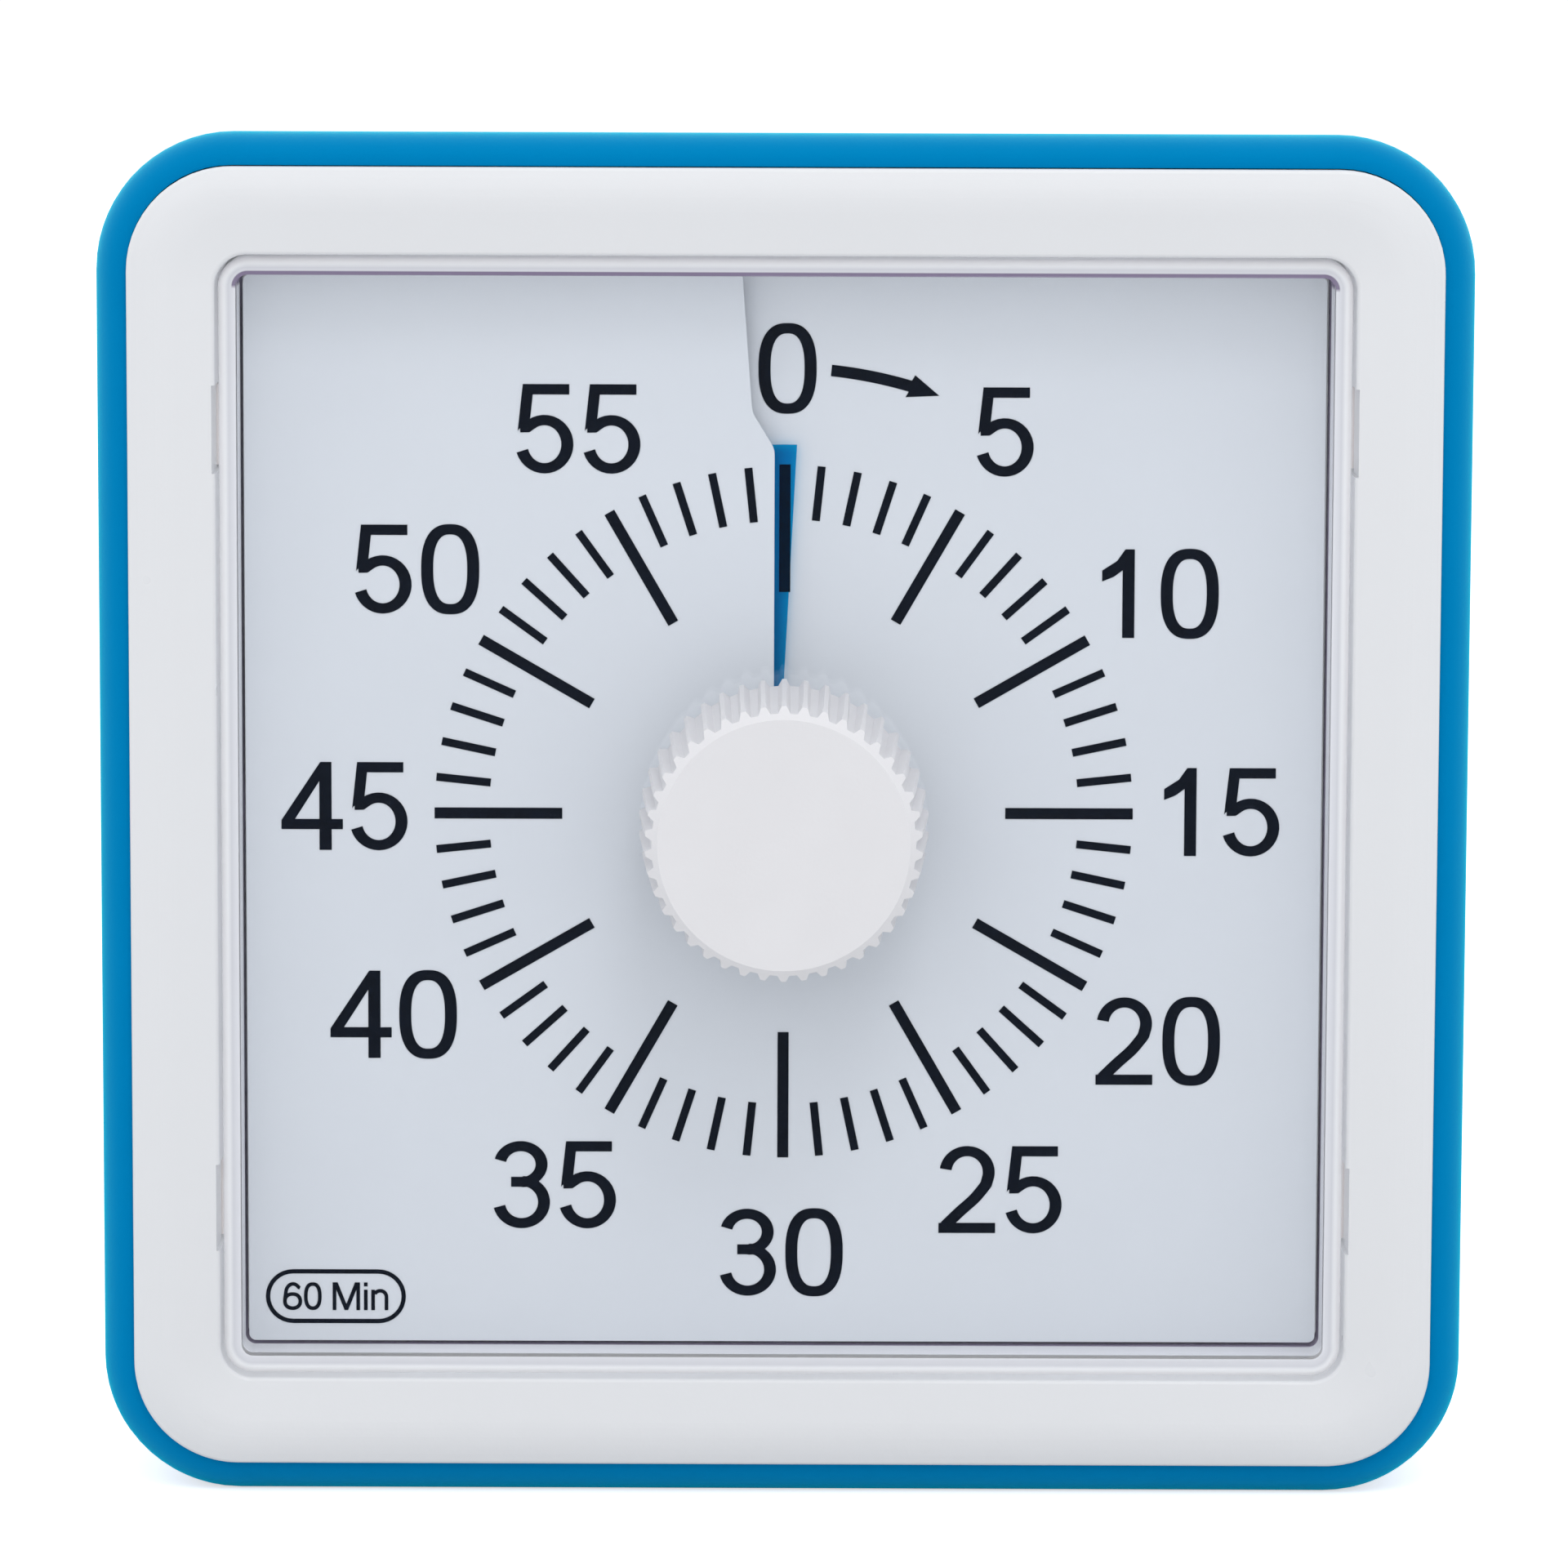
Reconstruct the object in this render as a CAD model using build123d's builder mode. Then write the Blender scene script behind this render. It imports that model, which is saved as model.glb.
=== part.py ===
from build123d import *
import os
from math import atan2, cos, degrees, pi, radians, sin, tan

# Visual countdown timer. Turning the fluted knob draws a blue film disc out through a slit in
# the printed card, and a quartz movement winds it back in an hour.
# Millimetres. +X is to the right seen from the front, the front faces -Y and +Z is up. The
# origin is the middle of the flat underside. A depth is measured backwards from the crown of
# the white frame, and x, z offsets on a dial plane are measured from the dial's axis.

# ------------------------------------------------------------------ driving dimensions
# rear housing
body_width = 78.0
body_height = 78.0
body_depth = 28.0
body_radius = 7.8  # corners of the outline
side_draft = 2.5  # degrees, sides and top; the underside is level
lip_depth = 1.0  # front of the lip, behind the frame's crown
lip_width = 1.8  # wall seen around the frame
lip_radius = 1.7
lip_collar = 2.5  # straight stretch before the taper starts
back_radius = 2.7
side_wall = 2.0
back_wall = 2.0

# front frame
seam_gap = 0.06
frame_depth = 9.0
frame_wall = 1.6
frame_seat_gap = 0.1  # to the shoulder inside the housing
bezel_width = 4.95  # from the frame's edge to the lens opening
slope_width = 1.1
slope_depth = 0.3
bevel_width = 2.8
bevel_depth = 0.5
crest_radius = 4.0  # where slope and bevel meet the flat crown
frame_edge = 0.25  # rounding of the frame's outer and inner edges
core_depth = 2.4  # where the groove behind the bezel ends
ledge_reach = 3.5  # inwards from the lens opening
ledge_radius = 5.0

# lens
lens_radius = 1.7
lens_gap = 0.15
lens_front = 1.1
lens_plate = 1.6
lens_wall = 1.0
lens_end = 7.4
lens_edge = 0.4
pocket_radius = 0.6
lens_hole_radius = 4.2
clip_spacing = 44.6
clip_length = 4.6
clip_reach = 0.5
clip_front = 4.6
clip_back = 6.2
clip_slot = 0.2  # depth of the visible slot beside a clip
clip_gap = 0.2

# dial card: one turn of a ramp, high on the left of its slit
card_depth = 5.4
card_rise = 1.2
card_thickness = 0.4
card_gap = 0.2
card_radius = 0.4
card_hole_radius = 6.5
slit_lap = 0.5  # how far the right half runs on behind the left
slit_round = 1.2  # rounding of the bends in its edge
slit_top_x = -2.45
slit_bend_x = -1.88
slit_bend_rise = 1.9  # above the film's edge
slit_foot_x = -0.6
slit_foot_drop = 0.2  # below the film's edge
slit_margin = 12.0  # degrees of ramp that run past the slit before it is cut
post_radius = 0.9
post_inset = 1.1  # of the posts from the card's edges
post_slit_x = 7.0  # the two posts beside the slit's mouth

# film disc
film_radius = 21.2
film_thickness = 0.2
film_depth = 5.5  # at the slit
film_drop = 2.6  # how far the far end lies behind the leading edge
film_lead = 1.9  # degrees of film in front of the card at zero
film_tail = 358.0  # degrees of film behind the card at zero

# knob
knob_radius = 8.25
knob_tip_radius = 7.75
knob_height = 9.5
knob_clearance = 0.4  # to the lens
knob_ribs = 42
rib_height = 0.4
rib_root = 0.68
rib_tip = 0.24
knob_edge = 0.7
knob_wall = 1.4
knob_stem_radius = 3.2
socket_depth = 5.0

# spindle, hub and clutch
spindle_radius = 1.5
arbor_radius = 0.8  # the thin rear part of the spindle
shaft_gap = 0.05
flat_depth = 0.4  # of the D at the knob
hub_radius = 4.6
hub_flange_radius = 6.0
hub_flange = 0.6
hub_front = 3.2
hub_back = 8.7
collar_thickness = 0.4
shoulder_radius = 3.2
shoulder = 0.3
clutch_spring_radius = 2.8
clutch_spring_thickness = 0.2
clip_ring_radius = 1.7
clip_ring_thickness = 0.25
bush_radius = 2.6

# carrier plate
plate_thickness = 1.4
plate_side_gap = 1.1  # to the frame's outline
plate_top = 29.3
plate_bottom = -17.3
plate_radius = 2.0
plate_screw_inset = 2.45  # from the frame's outline
plate_screw_low = -12.0
plate_screw_high = 20.0
board_post_x = 24.5
board_post_low = -13.0
board_post_high = 26.5
board_post_radius = 2.0

# movement case
case_width = 42.0
case_height = 32.0
case_offset_z = 3.0
case_radius = 2.5
case_wall = 1.0
base_depth = 16.0  # where base and cover meet
cover_end = 20.2
cover_wall = 0.8
case_pillar_radius = 2.0
case_pillar_x = 19.0
case_pillar_rise = 14.0  # above and below the case's middle

# gear train, front to back
tooth_module = 0.25
addendum = 0.8  # in modules
dedendum = 1.1
tooth_tip = 0.15  # shares of the tooth pitch
tooth_root = 0.46
wheel_thickness = 0.7
pinion_width = 1.2
centre_teeth = 64
third_teeth = 60
second_teeth = 60
intermediate_teeth = 50
small_pinion = 8
large_pinion = 10
centre_level = 12.1
level_pitch = 1.3
third_direction = 200.0  # degrees, from the centre wheel to the third wheel
second_direction = 110.0
intermediate_direction = 40.0
rotor_direction = -5.0
train_arbor_radius = 0.5
pivot_radius = 0.32
pivot_length = 0.4
end_play = 0.1
magnet_radius = 2.0
magnet_length = 1.3
magnet_front = 17.1

# stepping motor
stator_depth = 17.5
stator_thickness = 0.6
stator_ring = 4.2
stator_arm = 3.2
stator_gap = 0.3
coil_x = 15.9
coil_top = 14.0
coil_bottom = -7.6
core_width = 3.0
winding_width = 4.8
winding_thickness = 3.6
winding_inset = 4.0

# board
board_gap = 0.2
board_thickness = 1.0
board_top = 32.0
board_bottom = -15.5
board_radius = 1.5
crystal_radius = 1.0
crystal_length = 6.0
crystal_x = -14.0
crystal_z = 2.0
chip_size = 7.0
chip_height = 1.4
chip_x = 14.0
chip_z = 1.0
buzzer_radius = 8.5
buzzer_height = 4.0
buzzer_z = 22.5
buzzer_hole_radius = 1.2
cam_radius = 2.6
cam_lobe = 0.8
cam_thickness = 1.0
cam_gap = 0.5
cam_lobe_width = 1.4
blade_gap = 0.3
blade_thickness = 0.25
blade_spacing = 1.1
blade_length = 8.0
blade_height = 2.4

# slide switches
switch_x = 19.5
switch_z = 22.5
switch_height = 4.6
switch_depth = 3.6
switch_wall = 0.5
switch_end = 2.2  # case beyond the slider's travel at each end
slider_length = 2.2
slider_width = 1.7
slider_foot_length = 3.8
slider_foot_width = 2.9
slider_foot_thickness = 1.2
slider_gap = 0.15
slider_recess = 0.4  # its top lies this far below the back
slot_gap = 0.4
volume_travel = 2.0
alarm_travel = 4.0
dish_depth = 0.8
dish_margin = 1.6

# battery compartment and door
cell_radius = 7.25
cell_body = 49.5
cell_nub_radius = 2.75
cell_nub = 1.0
cell_gap = 0.2
cell_pad_gap = 0.35  # between the cell and the door's pads
bay_wall = 1.15
strip_thickness = 0.4
strip_width = 4.0
strip_slot_gap = 0.1
contact_width = 9.0
strip_lap = 3.0  # of the strips on the board's edges
spring_room = 3.1  # between the cell and its rear contact
spring_radius = 3.6
spring_wire = 0.7
spring_turns = 3.5
spring_set_in = 0.1  # of its first coil in the contact
door_overlap = 1.4  # beyond each end of the bay
door_side = 0.75  # beyond the bay above and below
door_rise = 3.8  # of its lower edge above the table
door_thickness = 1.1
door_gap = 0.15
door_seat_gap = 0.1
barrel_radius = 0.95
pin_radius = 0.5
pin_length = 0.8
pin_gap = 0.06
hinge_inset = 0.4  # from the door's end
pocket_gap = 0.25
pad_height = 0.3
pad_length = 8.0
pad_spacing = 24.0
scoop_radius = 4.0
scoop_depth = 0.9

# screws
boss_inset = 4.7  # from the frame's outline
boss_radius = 2.6
tube_radius = 3.2
case_screw_radius = 1.1
case_screw_head_radius = 1.9
case_screw_head = 1.5
case_screw_length = 15.0
boss_end = 15.9
boss_tube_gap = 0.1
head_gap = 0.25
pilot_gap = 0.03
small_screw_radius = 0.8
small_screw_head_radius = 1.35
small_screw_head = 0.8
plate_screw_length = 4.5
movement_screw_length = 9.5
board_screw_length = 4.0
recess_width = 0.5
recess_depth = 0.5

# speaker grille
grille_hole_radius = 0.7
grille_pitch = 2.6
grille_rings = 2

# ------------------------------------------------------------------ places that follow
axis_height = body_height / 2
underside_front = lip_depth + lip_radius
underside_back = body_depth - back_radius
front_y = -(underside_front + underside_back) / 2
inner_back = body_depth - back_wall
taper = (body_depth - lip_depth - lip_collar) * tan(radians(side_draft))
frame_width = body_width - 2 * (lip_width + seam_gap)
frame_height = body_height - 2 * (lip_width + seam_gap)
frame_radius = body_radius - lip_width - seam_gap
opening_width = frame_width - 2 * bezel_width
opening_height = frame_height - 2 * bezel_width
lens_width = opening_width - 2 * lens_gap
lens_height = opening_height - 2 * lens_gap
boss_x = frame_width / 2 - boss_inset
boss_z = frame_height / 2 - boss_inset
opening_radius = lens_radius + lens_gap
card_width = lens_width - 2 * (lens_wall + card_gap)
card_height = lens_height - 2 * (lens_wall + card_gap)
ledge_depth = lens_end + seam_gap
slit_bend_z = film_radius + slit_bend_rise
slit_foot_z = film_radius - slit_foot_drop
knob_base = lens_front - knob_clearance
knob_front = knob_base - knob_height
plate_back = frame_depth + plate_thickness
base_inner = plate_back + case_wall
cover_inner = cover_end - cover_wall
board_front = cover_end + board_gap
board_back = board_front + board_thickness
plate_width = frame_width - 2 * plate_side_gap
plate_screw_x = frame_width / 2 - plate_screw_inset
shoulder_front = base_inner + end_play
shoulder_back = shoulder_front + shoulder
cam_front = board_back + cam_gap
hinge_depth = body_depth - barrel_radius - shaft_gap
hinge_pocket = barrel_radius + pocket_gap
cell_depth = body_depth - door_thickness - pad_height - cell_pad_gap - cell_radius
bay_radius = cell_radius + cell_gap
bay_length = cell_body + cell_nub + spring_room + 2 * strip_thickness
board_width = bay_length - 2 * strip_thickness
strip_top = board_bottom + strip_lap
door_width = bay_length + 2 * door_overlap
door_height = 2 * (bay_radius + door_side)
hinge_x = door_width / 2 - hinge_inset
cell_height = door_rise + door_height / 2
cell_offset = cell_height - axis_height


def dial_plane(depth, x=0.0, z=0.0):
    """A plane that faces the viewer, depth behind the crown, its origin x, z from the axis."""
    return Plane(origin=(x, front_y + depth, axis_height + z), x_dir=(1, 0, 0), z_dir=(0, -1, 0))


def step_from(place, direction, distance):
    """The point at a distance from a place, in a direction in degrees on the dial plane."""
    angle = radians(direction)
    return (place[0] + distance * cos(angle), place[1] + distance * sin(angle))


def four_screws(x, low, high):
    """Four screw places, at one offset to each side and two heights."""
    return [(-x, low), (x, low), (-x, high), (x, high)]


def save(piece, name):
    """Label a finished piece and write its STEP file."""
    piece.part.label = name
    export_step(piece.part, f"parts/{name}.step")


os.makedirs("parts", exist_ok=True)

# ------------------------------------------------------------------ rear housing
with BuildPart() as rear_housing:
    # straight collar behind the lip, then the tub, tapered on its sides and top
    with BuildSketch(dial_plane(lip_depth)):
        RectangleRounded(body_width, body_height, body_radius)
    extrude(amount=-lip_collar)
    with BuildSketch(dial_plane(lip_depth + lip_collar)):
        RectangleRounded(body_width, body_height, body_radius)
    with BuildSketch(dial_plane(body_depth)):
        with Locations((0, -taper / 2)):
            RectangleRounded(body_width - 2 * taper, body_height - taper, body_radius - taper)
    loft(ruled=True)
    fillet(rear_housing.faces().sort_by(Axis.Y)[-1].outer_wire().edges(), back_radius)
    fillet(rear_housing.faces().sort_by(Axis.Y)[0].outer_wire().edges(), lip_radius)
    # cavity, and the rabbet that takes the frame
    cavity_radius = body_radius - side_wall
    with BuildSketch(dial_plane(frame_depth + frame_seat_gap)):
        RectangleRounded(body_width - 2 * side_wall, body_height - 2 * side_wall, cavity_radius)
    with BuildSketch(dial_plane(inner_back)):
        with Locations((0, -taper / 2)):
            RectangleRounded(
                body_width - 2 * (taper + side_wall),
                body_height - taper - 2 * side_wall,
                cavity_radius - taper,
            )
    loft(ruled=True, mode=Mode.SUBTRACT)
    with BuildSketch(dial_plane(lip_depth)):
        RectangleRounded(
            body_width - 2 * lip_width, body_height - 2 * lip_width, body_radius - lip_width
        )
    extrude(amount=lip_depth - frame_depth - frame_seat_gap, mode=Mode.SUBTRACT)
    # screw tubes that meet the frame's bosses
    tube_front = boss_end + boss_tube_gap
    with BuildSketch(dial_plane(tube_front)):
        with GridLocations(2 * boss_x, 2 * boss_z, 2, 2):
            Circle(tube_radius)
    extrude(amount=tube_front - inner_back)
    # battery bay: a trough that follows the cell, open through the back
    bay_centre = (front_y + cell_depth, cell_height)
    bay_straight = inner_back - cell_depth
    with BuildSketch(Plane.YZ):
        with Locations(bay_centre):
            Circle(bay_radius + bay_wall)
            Rectangle(
                bay_straight, 2 * (bay_radius + bay_wall), align=(Align.MIN, Align.CENTER)
            )
    extrude(amount=bay_length / 2 + bay_wall, both=True)
    with BuildSketch(Plane.YZ):
        with Locations(bay_centre):
            Circle(bay_radius)
            Rectangle(
                body_depth - cell_depth + door_gap,
                2 * bay_radius,
                align=(Align.MIN, Align.CENTER),
            )
    extrude(amount=bay_length / 2, both=True, mode=Mode.SUBTRACT)
    # rebate and hinge pocket for the door, and a scoop for a fingertip
    with BuildSketch(dial_plane(body_depth, -door_width / 2 - door_gap, cell_offset)):
        Rectangle(
            door_width / 2 + door_gap + hinge_x + hinge_pocket,
            door_height + 2 * door_gap,
            align=(Align.MIN, Align.CENTER),
        )
    extrude(amount=door_thickness + door_seat_gap, mode=Mode.SUBTRACT)
    with BuildSketch(Plane.XY.offset(cell_height - door_height / 2 - door_gap)):
        with Locations((hinge_x, front_y + hinge_depth)):
            Circle(hinge_pocket)
    extrude(amount=door_height + 2 * door_gap, mode=Mode.SUBTRACT)
    with BuildSketch(Plane.XY.offset(cell_height - door_height / 2 - pin_length - door_gap)):
        with Locations((hinge_x, front_y + hinge_depth)):
            Circle(pin_radius + pin_gap)
    extrude(amount=door_height + 2 * (pin_length + door_gap), mode=Mode.SUBTRACT)
    with BuildSketch(dial_plane(body_depth, -door_width / 2, cell_offset)):
        Circle(scoop_radius)
    extrude(amount=scoop_depth, mode=Mode.SUBTRACT)
    # slots in the bay's roof for the contact strips
    with BuildSketch(dial_plane(cell_depth)):
        with Locations(
            *[
                (side * (bay_length - strip_thickness) / 2, cell_offset + bay_radius)
                for side in (-1, 1)
            ]
        ):
            Rectangle(strip_thickness + 2 * strip_slot_gap, 4 * bay_wall)
    extrude(amount=strip_width / 2 + strip_slot_gap, both=True, mode=Mode.SUBTRACT)
    # grille: a hexagon of small holes before the buzzer
    with BuildSketch(dial_plane(body_depth, 0, buzzer_z)):
        for ring in range(grille_rings + 1):
            for place in range(max(1, 6 * ring)):
                angle = 2 * pi * place / max(1, 6 * ring)
                with Locations((ring * grille_pitch * cos(angle), ring * grille_pitch * sin(angle))):
                    Circle(grille_hole_radius)
    extrude(amount=back_wall, mode=Mode.SUBTRACT)
    # slots of the two slide switches, each in a shallow dish
    for side, travel in ((-1, volume_travel), (1, alarm_travel)):
        slot_length = slider_length + travel + 2 * slot_gap
        slot_width = slider_width + 2 * slot_gap
        with BuildSketch(dial_plane(body_depth, side * switch_x, switch_z)):
            RectangleRounded(slot_length, slot_width, slot_gap)
        extrude(amount=back_wall, mode=Mode.SUBTRACT)
        with BuildSketch(dial_plane(body_depth, side * switch_x, switch_z)):
            RectangleRounded(
                slot_length + 2 * dish_margin, slot_width + 2 * dish_margin, dish_margin
            )
        extrude(amount=dish_depth, mode=Mode.SUBTRACT)
    # counterbored screw holes
    back_plane = Plane(
        origin=(0, front_y + body_depth, axis_height), x_dir=(1, 0, 0), z_dir=(0, 1, 0)
    )
    with Locations(back_plane):
        with GridLocations(2 * boss_x, 2 * boss_z, 2, 2):
            CounterBoreHole(
                radius=case_screw_radius + head_gap,
                counter_bore_radius=case_screw_head_radius + head_gap,
                counter_bore_depth=case_screw_head + head_gap,
            )
save(rear_housing, "rear_housing")

# ------------------------------------------------------------------ front frame
with BuildPart() as front_frame:
    with BuildSketch(dial_plane(0)):
        RectangleRounded(frame_width, frame_height, frame_radius)
        RectangleRounded(opening_width, opening_height, opening_radius, mode=Mode.SUBTRACT)
    extrude(amount=-frame_depth)
    # outer slope and inner bevel of the bezel
    crown = front_frame.faces().sort_by(Axis.Y)[0]
    chamfer(crown.outer_wire().edges(), slope_width, slope_depth, reference=crown)
    crown = front_frame.faces().sort_by(Axis.Y)[0]
    chamfer(crown.inner_wires()[0].edges(), bevel_width, bevel_depth, reference=crown)
    crown = front_frame.faces().sort_by(Axis.Y)[0]
    fillet(crown.edges(), crest_radius)
    for edge_y in (front_y + slope_depth, front_y + bevel_depth):
        fillet(front_frame.edges().filter_by_position(Axis.Y, edge_y, edge_y), frame_edge)
    # groove behind the bezel, filled where the carrier's screws go
    with BuildSketch(dial_plane(core_depth)):
        RectangleRounded(
            frame_width - 2 * frame_wall, frame_height - 2 * frame_wall, frame_radius - frame_wall
        )
        RectangleRounded(
            opening_width + 2 * frame_wall,
            opening_height + 2 * frame_wall,
            opening_radius + frame_wall,
            mode=Mode.SUBTRACT,
        )
    extrude(amount=core_depth - frame_depth, mode=Mode.SUBTRACT)
    with BuildSketch(dial_plane(core_depth)):
        with Locations(*four_screws(plate_screw_x, plate_screw_low, plate_screw_high)):
            Circle(2 * small_screw_radius)
    extrude(amount=core_depth - frame_depth)
    # ledge behind the lens and the card
    with BuildSketch(dial_plane(ledge_depth)):
        RectangleRounded(opening_width + frame_wall, opening_height + frame_wall, opening_radius)
        RectangleRounded(
            opening_width - 2 * ledge_reach,
            opening_height - 2 * ledge_reach,
            ledge_radius,
            mode=Mode.SUBTRACT,
        )
    extrude(amount=ledge_depth - frame_depth)
    # bosses for the case screws
    with BuildSketch(dial_plane(ledge_depth)):
        with GridLocations(2 * boss_x, 2 * boss_z, 2, 2):
            Circle(boss_radius)
    extrude(amount=ledge_depth - boss_end)
    with BuildSketch(dial_plane(boss_end)):
        with GridLocations(2 * boss_x, 2 * boss_z, 2, 2):
            Circle(case_screw_radius + pilot_gap)
    extrude(amount=boss_end - frame_depth, mode=Mode.SUBTRACT)
    with BuildSketch(dial_plane(frame_depth)):
        with Locations(*four_screws(plate_screw_x, plate_screw_low, plate_screw_high)):
            Circle(small_screw_radius + pilot_gap)
    extrude(amount=plate_screw_length - plate_thickness, mode=Mode.SUBTRACT)
    # notches for the lens clips: a fine slot in front, deeper behind
    for side in (-1, 1):
        edge_x = side * opening_width / 2
        with BuildSketch(dial_plane(bevel_depth - slope_depth)):
            with Locations((edge_x, clip_spacing / 2), (edge_x, -clip_spacing / 2)):
                Rectangle(2 * clip_slot, clip_length + 2 * clip_gap)
        extrude(amount=bevel_depth - slope_depth - clip_front, mode=Mode.SUBTRACT)
        with BuildSketch(dial_plane(clip_front - clip_gap)):
            with Locations((edge_x, clip_spacing / 2), (edge_x, -clip_spacing / 2)):
                Rectangle(2 * (clip_reach + clip_gap - lens_gap), clip_length + 2 * clip_gap)
        extrude(amount=clip_front - clip_back - 2 * clip_gap, mode=Mode.SUBTRACT)
save(front_frame, "front_frame")

# ------------------------------------------------------------------ lens
with BuildPart() as lens:
    with BuildSketch(dial_plane(lens_front)):
        RectangleRounded(lens_width, lens_height, lens_radius)
    extrude(amount=lens_front - lens_end)
    fillet(lens.faces().sort_by(Axis.Y)[0].outer_wire().edges(), lens_edge)
    with BuildSketch(dial_plane(lens_front + lens_plate)):
        RectangleRounded(
            lens_width - 2 * lens_wall, lens_height - 2 * lens_wall, pocket_radius
        )
    extrude(amount=lens_front + lens_plate - lens_end, mode=Mode.SUBTRACT)
    with BuildSketch(dial_plane(lens_front)):
        Circle(lens_hole_radius)
    extrude(amount=-lens_plate, mode=Mode.SUBTRACT)
    # four clips, ramped towards the back
    for z in (-clip_spacing / 2, clip_spacing / 2):
        with BuildSketch(Plane.XY.offset(axis_height + z - clip_length / 2)):
            for side in (-1, 1):
                root_x = side * lens_width / 2
                with BuildLine():
                    Polyline(
                        (root_x - side * clip_reach, front_y + clip_front),
                        (root_x + side * clip_reach, front_y + clip_front),
                        (root_x, front_y + clip_back),
                        (root_x - side * clip_reach, front_y + clip_back),
                        close=True,
                    )
                make_face()
        extrude(amount=clip_length)
save(lens, "lens")

# ------------------------------------------------------------------ dial card
slit_path = [
    (slit_top_x, card_height),
    (slit_top_x, card_height / 2),
    (slit_bend_x, slit_bend_z),
    (slit_foot_x, slit_foot_z),
    (slit_foot_x, 0),
]


def ramp(inner_radius, outer_radius, first_angle, last_angle, drop_per_turn, depth, thickness):
    """A helical ramp between two radii, of a thickness behind its front face.

    Angles run clockwise from twelve o'clock, and depth is where the face lies at zero degrees.
    The face comes drop_per_turn nearer to the viewer in each clockwise turn.
    """
    edges = []
    turn = (last_angle - first_angle) / 360
    start = depth - drop_per_turn * first_angle / 360
    for radius in (inner_radius, outer_radius):
        helix = Edge.make_helix(
            pitch=drop_per_turn, height=drop_per_turn * turn, radius=radius, lefthand=True
        )
        edges.append(helix.rotate(Axis.Z, 90 - first_angle))
    face = Face.make_surface_from_curves(edges[0], edges[1])
    return Solid.extrude(face, (0, 0, -thickness)).moved(dial_plane(start).location)


def card_half(first_angle, last_angle, side, lap):
    """The card's ramp between two angles, on the right (1) or left (-1) of the slit.

    It runs past the slit by a lap.
    """
    with BuildPart() as half:
        add(
            ramp(
                card_hole_radius / 2,
                card_width,
                first_angle,
                last_angle,
                card_rise,
                card_depth + card_rise / 2,
                card_thickness,
            )
        )
        with BuildSketch(dial_plane(0)):
            with BuildLine():
                edge = FilletPolyline(*[(x - lap, z) for x, z in slit_path], radius=slit_round)
                Polyline(
                    edge @ 1,
                    (0, 0),
                    (0, -card_height),
                    (side * card_width, -card_height),
                    (side * card_width, card_height),
                    edge @ 0,
                )
            make_face()
        extrude(amount=-body_depth, mode=Mode.INTERSECT)
    return half.part


right_half = card_half(-slit_margin, 180, 1, slit_lap)
left_half = card_half(180, 360, -1, 0)

with BuildPart() as dial_card:
    add(right_half)
    add(left_half)
    with BuildSketch(dial_plane(0)):
        RectangleRounded(card_width, card_height, card_radius)
        Circle(card_hole_radius, mode=Mode.SUBTRACT)
    extrude(amount=-body_depth, mode=Mode.INTERSECT)
    # posts that hold the card off the frame's ledge
    post_x = card_width / 2 - post_inset
    post_z = card_height / 2 - post_inset
    for x, z in (
        (-post_x, -post_z),
        (0, -post_z),
        (post_x, -post_z),
        (-post_x, 0),
        (post_x, 0),
        (-post_x, post_z),
        (post_x, post_z),
        (-post_slit_x, post_z),
        (post_slit_x, post_z),
    ):
        turn = (degrees(atan2(x, z)) % 360) / 360
        post_front = card_depth + card_rise * (0.5 - turn) + card_thickness / 2
        with BuildSketch(dial_plane(post_front, x, z)):
            Circle(post_radius)
        extrude(amount=post_front - ledge_depth)
save(dial_card, "dial_card")

# ------------------------------------------------------------------ film disc and its hub
with BuildPart() as time_disc:
    add(
        ramp(
            hub_radius,
            film_radius,
            -film_tail,
            film_lead,
            film_drop,
            film_depth,
            film_thickness,
        )
    )
save(time_disc, "time_disc")

with BuildPart() as disc_hub:
    with BuildSketch(dial_plane(hub_front)):
        Circle(hub_flange_radius)
    extrude(amount=-hub_flange)
    with BuildSketch(dial_plane(hub_front + hub_flange)):
        Circle(hub_radius)
    extrude(amount=hub_front + hub_flange - hub_back)
    with BuildSketch(dial_plane(hub_front)):
        Circle(spindle_radius + shaft_gap)
    extrude(amount=hub_front - hub_back, mode=Mode.SUBTRACT)
save(disc_hub, "disc_hub")

with BuildPart() as hub_collar:
    with BuildSketch(dial_plane(hub_back - collar_thickness)):
        Circle(hub_flange_radius)
        Circle(hub_radius, mode=Mode.SUBTRACT)
    extrude(amount=-collar_thickness)
save(hub_collar, "hub_collar")

# ------------------------------------------------------------------ spindle
with BuildPart() as spindle:
    spindle_front = hub_front - socket_depth
    with BuildSketch(dial_plane(spindle_front)):
        Circle(spindle_radius)
        with Locations((0, spindle_radius)):
            Rectangle(2 * spindle_radius, 2 * flat_depth, mode=Mode.SUBTRACT)
    extrude(amount=spindle_front - hub_front)
    with BuildSketch(dial_plane(hub_front)):
        Circle(spindle_radius)
    extrude(amount=hub_front - shoulder_front)
    with BuildSketch(dial_plane(shoulder_front)):
        Circle(shoulder_radius)
    extrude(amount=-shoulder)
    with BuildSketch(dial_plane(shoulder_back)):
        Circle(arbor_radius)
    extrude(amount=shoulder_back - cam_front - cam_thickness)
save(spindle, "spindle")

with BuildPart() as spindle_bush:
    bush_front = frame_depth + end_play
    with BuildSketch(dial_plane(bush_front)):
        Circle(bush_radius)
        Circle(spindle_radius + shaft_gap, mode=Mode.SUBTRACT)
    extrude(amount=bush_front - base_inner)
save(spindle_bush, "spindle_bush")

# ------------------------------------------------------------------ knob


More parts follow.
